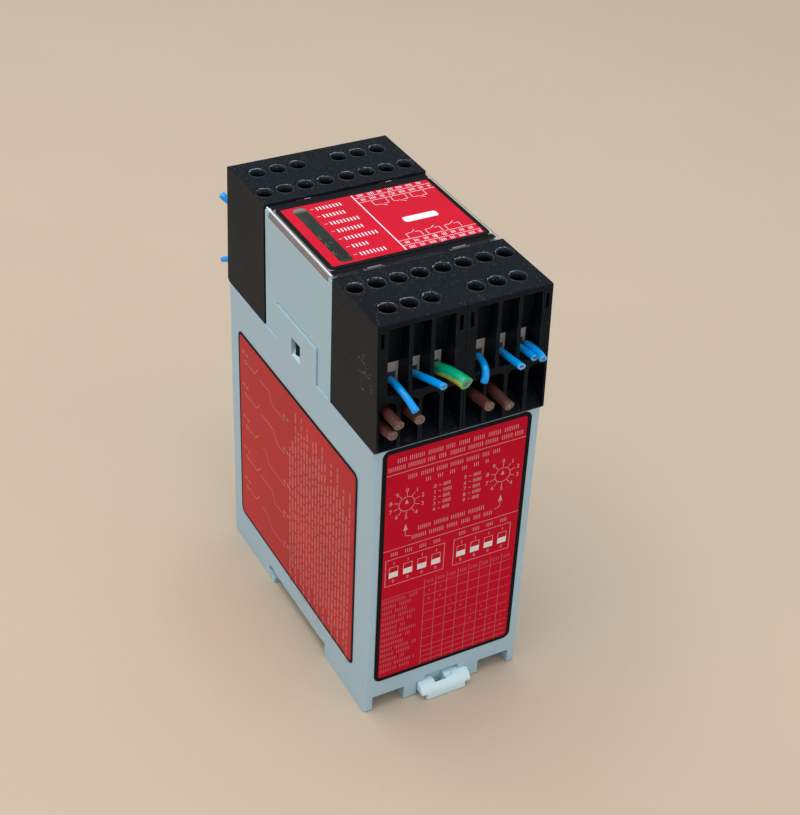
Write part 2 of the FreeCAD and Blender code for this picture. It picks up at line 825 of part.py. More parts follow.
def switch_board():
    x = both(tower_half_w - tower_side_t - fit)
    y = both(tower_half_l - tower_end_t - fit)
    return box(x, y, (switch_board_z, switch_board_z + board_t))


def safety_relay(index):
    low = relay_low + index * relay_pitch
    return prism_x(corners(around(relay_shift, relay_y), (low, low + relay_h)),
                   (board_in - relay_x, board_in), [0.5] * 4)


def transformer():
    left = -board_in
    middle = core_low + core_z / 2
    core = box((left, left + core_x), around(core_shift, core_y), around(middle, core_z))
    coil = prism_x(corners(around(core_shift, coil_y), around(middle, coil_z)),
                   (left + (core_x - coil_x) / 2, left + (core_x + coil_x) / 2), [2.0] * 4)
    return fuse([core, coil])


def capacitors():
    left = -board_in
    heights = [core_top + (i + 1) * cap_pitch for i in range(cap_count)]
    return group([rod(cap_d, (left, core_shift, z), (left + cap_l, core_shift, z)) for z in heights])


def status_led(y):
    """Round-topped light emitter on two leads."""
    low = led_top - led_body
    radius = led_d / 2
    body = rod(led_d, (led_x, y, low), (led_x, y, led_top - radius))
    dome = Part.makeSphere(radius, Vector(led_x, y, led_top - radius))
    leads = [box(around(led_x, led_lead), around(y + shift, led_lead),
                 (switch_board_z + board_t, low + 0.5)) for shift in (-led_lead_gap / 2, led_lead_gap / 2)]
    return fuse([body, dome] + leads)


def status_leds():
    return group([status_led((i - (led_count - 1) / 2) * led_pitch) for i in range(led_count)])


# ================================================================ switches
def dip_columns(centre):
    return [centre + (i - (dip_count - 1) / 2) * dip_pitch for i in range(dip_count)]


def dip_body(centre):
    low = switch_board_z + board_t
    top = low + dip_h
    body = box(around(centre, dip_w), around(dip_y, dip_l), (low, top))
    rooms = []
    for x in dip_columns(centre):
        rooms.append(box(around(x, dip_slot_w), around(dip_y, dip_slot_l), (top - dip_skin - 1, top + 1)))
        room_top = top - dip_skin
        rooms.append(box(around(x, dip_room_w), around(dip_y, dip_room_l), (room_top - dip_room_h, room_top)))
    return cut(body, rooms)


def dip_slider(x):
    """Slider at the end of its slot that lies towards the latch side."""
    top = switch_board_z + board_t + dip_h
    middle = dip_y - dip_slot_l / 2 + cell_fit + knob_l / 2
    floor = top - dip_skin - dip_room_h
    knob = box(around(x, dip_slot_w - 2 * cell_fit), around(middle, knob_l), (floor, top + knob_proud))
    foot = box(around(x, dip_room_w - 2 * cell_fit), around(middle, foot_l), (floor, floor + foot_t))
    return fuse([knob, foot])


def rotary_body(x):
    low = switch_board_z + board_t
    top = low + rotary_h
    body = box(around(x, rotary_side), around(rotary_y, rotary_side), (low, top))
    return cut(body, [rod(rotor_d + 2 * rotor_fit, (x, rotary_y, top - rotor_deep), (x, rotary_y, top + 1))])


def rotor(x):
    top = switch_board_z + board_t + rotary_h
    disc = rod(rotor_d, (x, rotary_y, top - rotor_deep), (x, rotary_y, top + rotor_proud))
    crown = top + rotor_proud
    groove = box(around(x, rotor_slot_w), around(rotary_y, rotor_slot_l),
                 (crown - rotor_slot_deep, crown + 1))
    tip_y = rotary_y + rotor_slot_l / 2
    arrow = prism_z([(x - rotor_slot_w, tip_y - 1.2), (x + rotor_slot_w, tip_y - 1.2), (x, tip_y)],
                    (crown - rotor_slot_deep, crown + 1))
    return cut(disc, [groove, arrow])


# ================================================================ wires
def sweep(points, diameter):
    """A round bar through the points, bent to an arc at each inner point."""
    places = [Vector(*p) for p in points]
    edges = []
    last = places[0]
    for before, here, after in zip(places, places[1:], places[2:]):
        back = (before - here)
        ahead = (after - here)
        turn = math.pi - back.getAngle(ahead)
        reach = bend_share * min(back.Length, ahead.Length)
        back.normalize()
        ahead.normalize()
        start = here + back * reach
        end = here + ahead * reach
        radius = reach / math.tan(turn / 2)
        inward = (back + ahead).normalize()
        crown = here + inward * (radius / math.cos(turn / 2) - radius)
        edges.append(Part.LineSegment(last, start).toShape())
        edges.append(Part.Arc(start, crown, end).toShape())
        last = end
    edges.append(Part.LineSegment(last, places[-1]).toShape())
    section = Part.Wire(Part.makeCircle(diameter / 2, places[0], places[1] - places[0]))
    return Part.Wire(edges).makePipeShell([section], True, True)


def cut_wire(node, bay, column, upper, diameter, knee, end, tip=(0, 0), bare=0.03):
    """A cut wire held by a clamp: its insulation, with the bare core running on into the clamp.

    Tip, knee and end are steps from the middle of the clamp's opening. Sideways steps are shares of
    the entry's half width. Steps outwards, and the bare length of core in front of the clamp, are
    shares of the way from the clamp to the block's front. Steps up are in wire diameters.
    """
    shift, turn = bays[bay]
    outwards = 1 if turn else -1
    row, length, low, gap = out_clamp if upper else in_clamp
    half_entry = (pitch - rib_t) / 2
    x = shift - outwards * (row_out if upper else row_in)[column]
    z = low + cage_floor + (gap - bar_t) / 2
    mouth = row + length / 2
    reach = block_front - mouth
    path = [(x + tip[0] * half_entry, outwards * (mouth - strip_l), z + tip[1] * diameter)]
    for aside, out, up in (knee, end):
        path.append((x + aside * half_entry, outwards * (mouth + out * reach), z + up * diameter))
    core_d = diameter * core_share
    start = outwards * (mouth + bare * reach)
    outside = box(both(module_w), sorted((start, outwards * body_l)), (0, 2 * base_h))
    cover = cut(sweep(path, diameter).common(outside), [sweep(path, core_d + cell_fit)])
    covers.setdefault(node, []).append(cover)
    cores.setdefault(bay + "_wire_cores", []).append(sweep(path, core_d))


def near_left_wires():
    bay = "near_left"
    blue, brown = bay + "_blue_wires", bay + "_brown_wires"
    cut_wire(blue, bay, 0, True, blue_d, (0.2, 1.86, 0.4), (0.8, 2.23, -1.9))
    cut_wire(blue, bay, 1, True, blue_d, (0.26, 1.19, 0.36), (1.17, 2.43, 0.77))
    cut_wire(bay + "_earth_wire", bay, 2, True, earth_d,
             (0.3, 1.32, 0.4), (0.87, 2.64, 0.43), (0, -0.09), 0.16)
    cut_wire(brown, bay, 0, False, brown_d,
             (-0.35, 0.99, -0.45), (-0.22, 1.28, -0.35), (-0.33, -0.14), 0.81)
    cut_wire(brown, bay, 0, False, brown_d,
             (0.35, 0.99, 0.52), (0.22, 1.37, 0.97), (0.33, 0.14), 0.81)
    cut_wire(brown, bay, 1, False, brown_d, (0.04, 0.89, 0.41), (0.0, 1.39, 1.03))


def near_right_wires():
    bay = "near_right"
    blue, brown = bay + "_blue_wires", bay + "_brown_wires"
    cut_wire(blue, bay, 0, True, blue_d, (-0.2, 1.53, 0.25), (-0.35, 1.58, -1.75))
    cut_wire(blue, bay, 1, True, blue_d, (0.17, 1.19, 0.45), (0.13, 2.38, 0.45))
    cut_wire(blue, bay, 2, True, blue_d, (-0.48, 0.62, 0.14), (-0.13, 1.60, 0.4), (-0.39, 0), 0.28)
    cut_wire(blue, bay, 2, True, blue_d, (0.65, 0.62, 0.14), (0.87, 2.02, 0.1), (0.26, 0), 0.28)
    cut_wire(brown, bay, 0, False, brown_d, (0.13, 0.85, 0.24), (0.43, 1.41, 0.38))
    cut_wire(brown, bay, 1, False, brown_d, (0.09, 0.85, 0.0), (0.3, 1.41, -0.2))


def far_left_wires():
    bay = "far_left"
    blue = bay + "_blue_wires"
    cut_wire(blue, bay, 2, True, blue_d, (-0.17, 1.24, 0.55), (-2.1, 2.48, 2.6))
    cut_wire(blue, bay, 3, False, blue_d, (-0.04, 1.02, -0.36), (-1.13, 1.35, -1.55), (0, 0.14))


# ================================================================ the nodes
nodes["base_housing"] = base_housing()
nodes["top_housing"] = top_housing()
nodes["clear_cover"] = clear_cover()
nodes["cover_label"] = cover_label()
nodes["led_window"] = led_window()
nodes["front_label"] = front_label()
nodes["side_label"] = side_label()
nodes["rail_latch"] = rail_latch()
nodes["latch_spring"] = latch_spring()

moulding = terminal_block()
for number, bay in enumerate(bays):
    nodes[bay + "_block"] = in_bay(moulding, bay)
    nodes[bay + "_screws"] = in_bay(clamp_screws(turn_bay * number), bay)
    nodes[bay + "_clamps"] = in_bay(wire_clamps(), bay)
    nodes[bay + "_contacts"] = in_bay(contacts(), bay)

nodes["power_board"] = upright_board(-1)
nodes["relay_board"] = upright_board(1)
nodes["terminal_boards"] = terminal_boards()
nodes["switch_board"] = switch_board()
nodes["header_pins"] = header_pins()
for index in range(relay_count):
    nodes["force_guided_relay_" + str(index + 1)] = safety_relay(index)
nodes["transformer"] = transformer()
nodes["capacitors"] = capacitors()
nodes["status_leds"] = status_leds()

for side, centre in zip(("left", "right"), switch_x):
    nodes["dip_switch_" + side] = dip_body(centre)
    for index, x in enumerate(dip_columns(centre)):
        nodes["dip_slider_" + side + "_" + str(index + 1)] = dip_slider(x)
    nodes["rotary_switch_" + side] = rotary_body(centre)
    nodes["rotary_dial_" + side] = rotor(centre)

near_left_wires()
near_right_wires()
far_left_wires()
for name, shapes in {**covers, **cores}.items():
    nodes[name] = group(shapes)

os.makedirs("parts", exist_ok=True)
for name, shape in nodes.items():
    assert all(solid.isValid() for solid in shape.Solids) and shape.Solids, name
    shape.exportStep("parts/" + name + ".step")
print(len(nodes), "nodes")
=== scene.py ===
import math
import random

import bmesh
import bpy
from bpy.props import FloatProperty, FloatVectorProperty, IntProperty, PointerProperty
from mathutils import Matrix, Vector


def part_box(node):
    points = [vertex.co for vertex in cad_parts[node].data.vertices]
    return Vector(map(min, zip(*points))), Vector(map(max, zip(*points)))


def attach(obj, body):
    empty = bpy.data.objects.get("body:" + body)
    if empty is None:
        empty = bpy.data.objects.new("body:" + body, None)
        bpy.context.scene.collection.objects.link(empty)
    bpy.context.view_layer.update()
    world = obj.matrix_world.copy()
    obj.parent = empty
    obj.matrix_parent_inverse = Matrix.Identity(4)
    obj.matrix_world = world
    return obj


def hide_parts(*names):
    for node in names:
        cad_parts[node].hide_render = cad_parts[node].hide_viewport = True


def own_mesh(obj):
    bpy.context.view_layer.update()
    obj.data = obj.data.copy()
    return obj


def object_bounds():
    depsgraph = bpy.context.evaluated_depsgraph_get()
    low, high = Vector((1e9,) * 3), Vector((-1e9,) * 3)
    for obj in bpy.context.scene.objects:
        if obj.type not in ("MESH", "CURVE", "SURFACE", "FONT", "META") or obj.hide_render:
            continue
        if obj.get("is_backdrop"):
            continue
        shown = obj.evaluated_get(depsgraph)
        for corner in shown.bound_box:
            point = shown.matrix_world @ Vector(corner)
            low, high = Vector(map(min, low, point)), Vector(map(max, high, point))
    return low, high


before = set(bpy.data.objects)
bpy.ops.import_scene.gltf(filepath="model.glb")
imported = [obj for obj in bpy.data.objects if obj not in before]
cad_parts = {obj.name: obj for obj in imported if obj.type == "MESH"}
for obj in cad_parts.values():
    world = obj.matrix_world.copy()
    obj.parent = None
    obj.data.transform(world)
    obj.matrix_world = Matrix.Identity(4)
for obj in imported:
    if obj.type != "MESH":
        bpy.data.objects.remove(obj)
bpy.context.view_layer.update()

bl_info = {
    "name": "Safety relay",
    "version": (1, 0, 0),
    "blender": (4, 5, 0),
    "location": "View3D > Sidebar > Safety relay",
    "description": "Dresses a rail-mounted safety relay: labels, mouldings, metal parts, wires and stage",
    "category": "Add Mesh",
}

MM = 0.001
BAYS = ("near_left", "near_right", "far_left", "far_right")
LIFT = 0.012  # print stands this far off its label, in mm
LIGHT_PITCH = 3.9  # distance between the status lights, in mm


# ---------------------------------------------------------------- settings
def length(label, text, default_mm):
    return FloatProperty(name=label, description=text, default=default_mm * MM, min=0.0,
                         unit="LENGTH", subtype="DISTANCE", precision=5)


def colour(label, text, default):
    return FloatVectorProperty(name=label, description=text, default=default, size=3,
                               min=0.0, max=1.0, subtype="COLOR")


class RelaySizes(bpy.types.PropertyGroup):
    """Sizes of the printed and added details."""
    front_border: length("Front label border", "Width of the black edge of the front label", 1.1)
    side_border: length("Side label border", "Width of the black edge of the side label", 0.75)
    label_depth: length("Label thickness", "Thickness of the three labels", 0.2)
    label_head: length("Label head", "Part of the front label above its solid, up to the blocks", 1.1)
    cover_border: length("Cover label border", "Width of the black edge of the cover label", 1.15)
    hairline: length("Hairline", "Width of the thin printed rules", 0.14)
    dial_radius: length("Dial radius", "Radius of the printed dial circles", 2.1)
    dial_ticks: IntProperty(name="Dial ticks", description="Positions round each printed dial",
                            default=10, min=2)
    switch_pitch: length("Switch pitch", "Distance between printed slide switches", 3.9)
    screw_pitch: length("Screw pitch", "Distance between neighbouring terminal screws", 5.5)
    head_radius: length("Screw head", "Radius of a terminal screw's head", 1.9)
    bore_radius: length("Screw bore", "Radius of the bores over the screws", 2.34)
    cover_drop: length("Cover drop", "Corner posts above the walls that carry the cover", 1.6)
    entry_floor: length("Entry floor", "Height of the lower entries' floor in a block", 0.8)
    latch_travel: length("Latch travel", "Way that the rail latch slides out", 3.5)
    # the dark panels at this depth are painted shade
    shade_depth: length("Window shade", "Depth of the dark panels in the snap windows", 0.4)
    tongue_width: length("Snap tongue", "Width of the snap tongues", 22.7)
    catch_width: length("Snap window", "Width of the windows in the snap tongues", 5.0)
    catch_drop: length("Window drop", "Top of a snap tongue down to its window", 4.7)
    edge: length("Edge round", "Radius to which moulded edges catch the light", 0.22)


class RelayColours(bpy.types.PropertyGroup):
    """Colours of the finishes."""
    housing: colour("Housing", "Grey of the moulded housing", (0.42, 0.60, 0.71))
    block: colour("Terminal block", "Black of the moulded blocks", (0.002, 0.005, 0.009))
    label: colour("Label red", "Red of the cover's label", (0.60, 0.001, 0.022))
    front_label: colour("Front label red", "Red of the front label", (0.56, 0.006, 0.025))
    side_label: colour("Side label red", "Red of the side label, a little faded", (0.49, 0.020, 0.024))
    ink: colour("Ink", "Pale ink of the printed rules and numbers", (0.72, 0.36, 0.39))
    faint_ink: colour("Faint ink", "Rubbed ink of the settings table", (0.56, 0.14, 0.16))
    white: colour("White ink", "White of the cover print", (0.86, 0.83, 0.92))
    latch: colour("Latch", "Pale latch plastic", (0.69, 0.91, 1.0))
    blue: colour("Blue insulation", "Blue wire", (0.0, 0.37, 1.0))
    brown: colour("Brown insulation", "Brown wire", (0.085, 0.028, 0.022))
    green: colour("Green insulation", "Green of the earth wire", (0.0, 0.40, 0.20))
    yellow: colour("Yellow insulation", "Yellow of the earth wire", (0.46, 0.50, 0.06))
    floor: colour("Floor", "Colour of the plain floor", (0.60, 0.49, 0.38))


def sizes():
    return bpy.context.scene.relay_sizes


def in_mm(name):
    """One of the set sizes, in mm."""
    return getattr(sizes(), name) / MM


def tint(name):
    return tuple(getattr(bpy.context.scene.relay_colours, name))


def toned(base, factor, lift=0.0):
    """A colour made darker or lighter."""
    return tuple(min(1.0, c * factor + lift) for c in base)


def to_mm(corners):
    return [Vector(corner) / MM for corner in corners]


# ---------------------------------------------------------------- shader tools
class Shading:
    """A node tree with short ways to add nodes and link them."""

    def __init__(self, tree):
        self.tree = tree

    def node(self, kind, **settings):
        node = self.tree.nodes.new(kind)
        for key, value in settings.items():
            setattr(node, key, value)
        return node

    def link(self, source, target):
        self.tree.links.new(source, target)

    def feed(self, socket, value):
        if hasattr(value, "is_output"):
            self.link(value, socket)
        else:
            socket.default_value = value

    def maths(self, operation, a, b):
        node = self.node("ShaderNodeMath", operation=operation)
        self.feed(node.inputs[0], a)
        self.feed(node.inputs[1], b)
        return node.outputs[0]

    def times(self, a, b):
        return self.maths("MULTIPLY", a, b)

    def scaled(self, value, factor, start):
        return self.maths("ADD", self.times(value, factor), start)

    def ramp(self, value, low, high):
        node = self.node("ShaderNodeMapRange", clamp=True)
        self.feed(node.inputs["Value"], value)
        self.feed(node.inputs["From Min"], low)
        self.feed(node.inputs["From Max"], high)
        return node.outputs["Result"]

    def mix(self, factor, a, b):
        """Mixes two colours, each of them a socket or three values."""
        node = self.node("ShaderNodeMix", data_type="RGBA")
        self.feed(node.inputs["Factor"], factor)
        for label, colour in (("A", a), ("B", b)):
            self.feed(node.inputs[label], colour if hasattr(colour, "is_output") else (*colour, 1.0))
        return node.outputs["Result"]

    def place(self):
        return self.node("ShaderNodeTexCoord").outputs["Object"]

    def normal(self):
        return self.node("ShaderNodeNewGeometry").outputs["Normal"]

    def split(self, vector):
        """The X, Y and Z of a vector."""
        node = self.node("ShaderNodeSeparateXYZ")
        self.link(vector, node.inputs["Vector"])
        return node.outputs

    def noise(self, scale, detail, stretch=None):
        coordinates = self.place()
        if stretch:
            mapping = self.node("ShaderNodeMapping")
            mapping.inputs["Scale"].default_value = stretch
            self.link(coordinates, mapping.inputs["Vector"])
            coordinates = mapping.outputs["Vector"]
        node = self.node("ShaderNodeTexNoise")
        self.link(coordinates, node.inputs["Vector"])
        self.feed(node.inputs["Scale"], scale)
        node.inputs["Detail"].default_value = detail
        return node.outputs["Fac"]

    def bump(self, height, strength, distance, normal=None):
        node = self.node("ShaderNodeBump")
        node.inputs["Strength"].default_value = strength
        node.inputs["Distance"].default_value = distance
        self.link(height, node.inputs["Height"])
        if normal is not None:
            self.link(normal, node.inputs["Normal"])
        return node.outputs["Normal"]

    def group(self, tree, **values):
        node = self.node("ShaderNodeGroup", node_tree=tree)
        for key, value in values.items():
            self.feed(node.inputs[key], value)
        return node.outputs

    def paint(self, surface, colour, roughness, normal):
        self.link(colour, surface["Base Color"])
        self.feed(surface["Roughness"], roughness)
        self.link(normal, surface["Normal"])


def shared_group(inputs, outputs):
    """Builds a shader group once, under the name of the function that fills it."""
    def wrap(fill):
        def get():
            name = fill.__name__
            if name not in bpy.data.node_groups:
                tree = bpy.data.node_groups.new(name, "ShaderNodeTree")
                for label, default in inputs.items():
                    socket = tree.interface.new_socket(label, in_out="INPUT", socket_type="NodeSocketFloat")
                    socket.default_value = default
                for label, kind in outputs.items():
                    tree.interface.new_socket(label, in_out="OUTPUT", socket_type="NodeSocket" + kind)
                s = Shading(tree)
                fill(s, s.node("NodeGroupInput").outputs, s.node("NodeGroupOutput").inputs)
            return bpy.data.node_groups[name]
        return get
    return wrap


def finish_maker(fill):
    """Builds each named finish once, on a Principled surface, and gives it back after that."""
    def get(name, *values, **settings):
        if name not in bpy.data.materials:
            material = bpy.data.materials.new(name)
            material.use_nodes = True
            material.node_tree.nodes.clear()
            s = Shading(material.node_tree)
            surface = s.node("ShaderNodeBsdfPrincipled")
            s.link(surface.outputs["BSDF"], s.node("ShaderNodeOutputMaterial").inputs["Surface"])
            fill(s, surface.inputs, *values, **settings)
        return bpy.data.materials[name]
    return get


# ---------------------------------------------------------------- shared effects
@shared_group({"Scale": 2500.0}, {"Height": "Float", "Tone": "Float"})
def moulded_grain(s, given, out):
    """Fine spark-eroded grain and slow changes of tone."""
    s.link(s.noise(given["Scale"], 3.0), out["Height"])
    s.link(s.ramp(s.noise(38.0, 2.0), 0.3, 0.7), out["Tone"])


@shared_group({"Radius": 0.0003, "Amount": 0.5, "Even": 0.0}, {"Normal": "Vector", "Mask": "Float"})
def edge_wear(s, given, out):
    """Rounded edges for the light, and a mask of the edges, for rubbed wear and for painted highlights."""
    soft = s.node("ShaderNodeBevel", samples=6)
    s.link(given["Radius"], soft.inputs["Radius"])
    dot = s.node("ShaderNodeVectorMath", operation="DOT_PRODUCT")
    s.link(soft.outputs["Normal"], dot.inputs[0])
    s.link(s.normal(), dot.inputs[1])
    turned = s.ramp(s.maths("SUBTRACT", 1.0, dot.outputs["Value"]), 0.02, 0.25)
    patchy = s.maths("MAXIMUM", s.ramp(s.noise(420.0, 4.0), 0.42, 0.62), given["Even"])
    s.link(soft.outputs["Normal"], out["Normal"])
    s.link(s.times(s.times(turned, patchy), given["Amount"]), out["Mask"])


@shared_group({"Scale": 900.0, "Size": 0.12, "Share": 0.5, "Sides": 1.0}, {"Mask": "Float"})
def specks(s, given, out):
    """Scattered light specks of dust and chips, fewer on the sides."""
    cells = s.node("ShaderNodeTexVoronoi", feature="F1")
    s.link(s.place(), cells.inputs["Vector"])
    s.link(given["Scale"], cells.inputs["Scale"])
    dot = s.maths("LESS_THAN", cells.outputs["Distance"], given["Size"])
    cell = s.node("ShaderNodeSeparateColor")
    s.link(cells.outputs["Color"], cell.inputs["Color"])
    chosen = s.maths("LESS_THAN", cell.outputs["Red"], given["Share"])
    upward = s.maths("MAXIMUM", s.ramp(s.split(s.normal())["Z"], 0.5, 0.9), given["Sides"])
    s.link(s.times(s.times(dot, chosen), upward), out["Mask"])


@shared_group({"Amount": 0.5}, {"Mask": "Float"})
def scratches(s, given, out):
    """Short rubbed lines in two directions."""
    one = s.ramp(s.noise(260.0, 2.0, (1.0, 0.12, 6.0)), 0.66, 0.74)
    two = s.ramp(s.noise(210.0, 2.0, (5.0, 3.0, 0.14)), 0.68, 0.76)
    s.link(s.times(s.maths("MAXIMUM", one, two), given["Amount"]), out["Mask"])


# ---------------------------------------------------------------- finishes
@finish_maker
def moulding(s, surface, base, wear_and_highlight, roughness=0.5, grain=2600.0, depth=0.00001, wear=0.4,
             dots=None, spot=None, sides=1.0, tone=0.08, scratch=0.0, shine=0.5):
    """Moulded plastic with grain, slow tone, edges lightened for wear and painted highlight, and specks
    where they are wanted.
    """
    surface["Specular IOR Level"].default_value = shine
    texture = s.group(moulded_grain(), Scale=grain)
    edges = s.group(edge_wear(), Radius=sizes().edge, Amount=wear)
    paint = s.mix(texture["Tone"], toned(base, 1 - tone), toned(base, 1 + tone))
    paint = s.mix(edges["Mask"], paint, wear_and_highlight)
    if dots:
        scale, size, share, strength = dots
        spots = s.group(specks(), Scale=scale, Size=size, Share=share, Sides=sides)
        paint = s.mix(s.times(spots["Mask"], strength), paint, spot or wear_and_highlight)
    if scratch:
        paint = s.mix(s.group(scratches(), Amount=scratch)["Mask"], paint, wear_and_highlight)
    rough = s.times(s.scaled(texture["Tone"], 0.16, 0.92), roughness)
    s.paint(surface, paint, rough, s.bump(texture["Height"], 0.5, depth, edges["Normal"]))


@finish_maker
def film(s, surface, base, roughness, fade=0.1, shine=0.12):
    """Printed film, also the flat films of painted highlight: even ink with a slight fade and a faint
    waviness.
    """
    surface["Specular IOR Level"].default_value = shine
    slow = s.ramp(s.noise(45.0, 3.0), 0.3, 0.7)
    fine = s.ramp(s.noise(1800.0, 2.0), 0.35, 0.65)
    paint = s.mix(slow, base, toned(base, 1 + fade, fade * 0.02))
    paint = s.mix(s.times(fine, 0.25), paint, toned(base, 0.93))
    rough = s.scaled(slow, 0.08, roughness - 0.04)
    s.paint(surface, paint, rough, s.bump(s.noise(160.0, 2.0), 0.25, 0.00005))


@finish_maker
def metal(s, surface, base, roughness, dull, full=1.0):
    """Plated metal with dull patches and bright rubbed edges."""
    surface["Metallic"].default_value = full
    patches = s.ramp(s.noise(520.0, 4.0), 0.35, 0.7)
    edges = s.group(edge_wear(), Radius=0.0001, Amount=0.8)
    paint = s.mix(edges["Mask"], s.mix(patches, base, dull), toned(base, 1.25))
    fine = s.bump(s.noise(3000.0, 2.0), 0.3, 0.00001, edges["Normal"])
    s.paint(surface, paint, s.scaled(patches, 0.2, roughness), fine)


@finish_maker
def insulation(s, surface, base, roughness, shine=0.35):
    """Extruded wire covering with faint draw lines and handling marks."""
    surface["Specular IOR Level"].default_value = shine
    marks = s.ramp(s.noise(700.0, 3.0), 0.55, 0.75)
    paint = s.mix(s.times(marks, 0.5), base, toned(base, 0.92, 0.01))
    drawn = s.bump(s.noise(900.0, 2.0, (3.0, 0.2, 3.0)), 0.4, 0.00004)
    s.paint(surface, paint, s.scaled(marks, 0.2, roughness), drawn)


@finish_maker
def striped(s, surface, green, yellow):
    """Green insulation with one narrow yellow stripe that winds slowly along it."""
    place = s.split(s.place())
    along = s.maths("ADD", place["Y"], 0.0375)
    across = s.maths("ADD", place["X"], 0.0064)
    height = s.maths("SUBTRACT", place["Z"], 0.0948)
    low = s.maths("ADD", across, s.times(along, 0.27))
    turned = s.maths("ADD", low, s.times(height, 0.25))
    stripe = s.maths("SUBTRACT", s.ramp(turned, -0.0011, -0.0009), s.ramp(turned, -0.0005, -0.0003))
    ridges = s.bump(s.noise(700.0, 2.0, (3.0, 0.12, 3.0)), 0.5, 0.0002)
    s.paint(surface, s.mix(stripe, green, yellow), s.scaled(s.noise(800.0, 3.0), 0.15, 0.2), ridges)


@finish_maker
def clear_plastic(s, surface):
    """Clear plastic, a little hazed by handling, with painted highlights along its edges."""
    surface["Transmission Weight"].default_value = 0.6
    surface["IOR"].default_value = 1.3
    haze = s.ramp(s.noise(260.0, 3.0), 0.35, 0.75)
    edges = s.group(edge_wear(), Radius=0.0004, Amount=1.0, Even=0.7)
    paint = s.mix(haze, (0.66, 0.60, 0.62), (0.52, 0.46, 0.48))
    # painted highlight: the edges lightened nearly to white, where clear plastic gathers the light
    paint = s.mix(edges["Mask"], paint, (0.95, 0.98, 0.98))
    wavy = s.bump(s.noise(500.0, 2.0), 0.12, 0.00002, edges["Normal"])
    s.paint(surface, paint, s.scaled(haze, 0.10, 0.05), wavy)


@finish_maker
def smoked_plastic(s, surface):
    """Smoked window: lighter towards its far end, with a painted highlight over its last few mm, soft
    greenish patches and scratches.
    """
    surface["Specular IOR Level"].default_value = 0.25
    low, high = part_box("led_window")
    along = s.split(s.place())["Y"]
    paint = s.mix(s.ramp(along, low.y, high.y), (0.006, 0.009, 0.008), (0.020, 0.026, 0.023))
    patches = s.times(s.ramp(s.noise(330.0, 3.0), 0.5, 0.72), 0.5)
    paint = s.mix(patches, paint, (0.035, 0.055, 0.040))
    # painted highlight: the far end lightened over its last few mm
    end = s.ramp(along, high.y - 0.0024, high.y - 0.0008)
    paint = s.mix(s.times(end, 0.8), paint, (0.24, 0.26, 0.25))
    paint = s.mix(s.group(scratches(), Amount=0.5)["Mask"], paint, (0.16, 0.20, 0.17))
    edges = s.group(edge_wear(), Radius=0.0002, Amount=0.5)
    wavy = s.bump(s.noise(400.0, 2.0), 0.2, 0.00005, edges["Normal"])
    s.paint(surface, paint, s.scaled(patches, 0.3, 0.22), wavy)


@finish_maker
def paper(s, surface, base):
    """Plain floor paper with a slow change of tone and short fibres."""
    tone = s.ramp(s.noise(14.0, 3.0), 0.25, 0.75)
    fibres = s.ramp(s.noise(900.0, 3.0), 0.3, 0.7)
    paint = s.mix(s.times(fibres, 0.3), s.mix(tone, toned(base, 0.97), base), toned(base, 0.93))
    s.paint(surface, paint, 0.85, s.bump(fibres, 0.2, 0.0001))


def dress(finish, *nodes):
    """Gives nodes of the frame their finish."""
    for node in nodes:
        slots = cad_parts[node].data.materials
        if len(slots) == 0:
            slots.append(finish)
        for index in range(len(slots)):
            slots[index] = finish


# ---------------------------------------------------------------- printing tools
def front_plane():
    """The face of the front label; u runs to the right and v up."""
    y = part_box("front_label")[0].y / MM
    return Matrix(((1, 0, 0, 0), (0, 0, -1, y), (0, 1, 0, 0), (0, 0, 0, 1)))


def side_plane(x, turn):
    """A plane at x that faces along turn; u runs to the right and v up."""
    return Matrix(((0, 0, turn, x), (turn, 0, 0, 0), (0, 1, 0, 0), (0, 0, 0, 1)))


def top_plane(z):
    return Matrix.Translation((0, 0, z))


def cover_plane():
    return top_plane(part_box("cover_label")[1].z / MM)


def baked(mesh, name):
    """The plain mesh of a finished bmesh."""
    data = bpy.data.meshes.new(name)
    mesh.to_mesh(data)
    mesh.free()
    return data


def bridge(mesh, a, b):
    """Joins two closed rings of vertices and gives back the new faces."""
    after = [(i + 1) % len(a) for i in range(len(a))]
    return [mesh.faces.new((a[i], a[j], b[j], b[i])) for i, j in enumerate(after)]


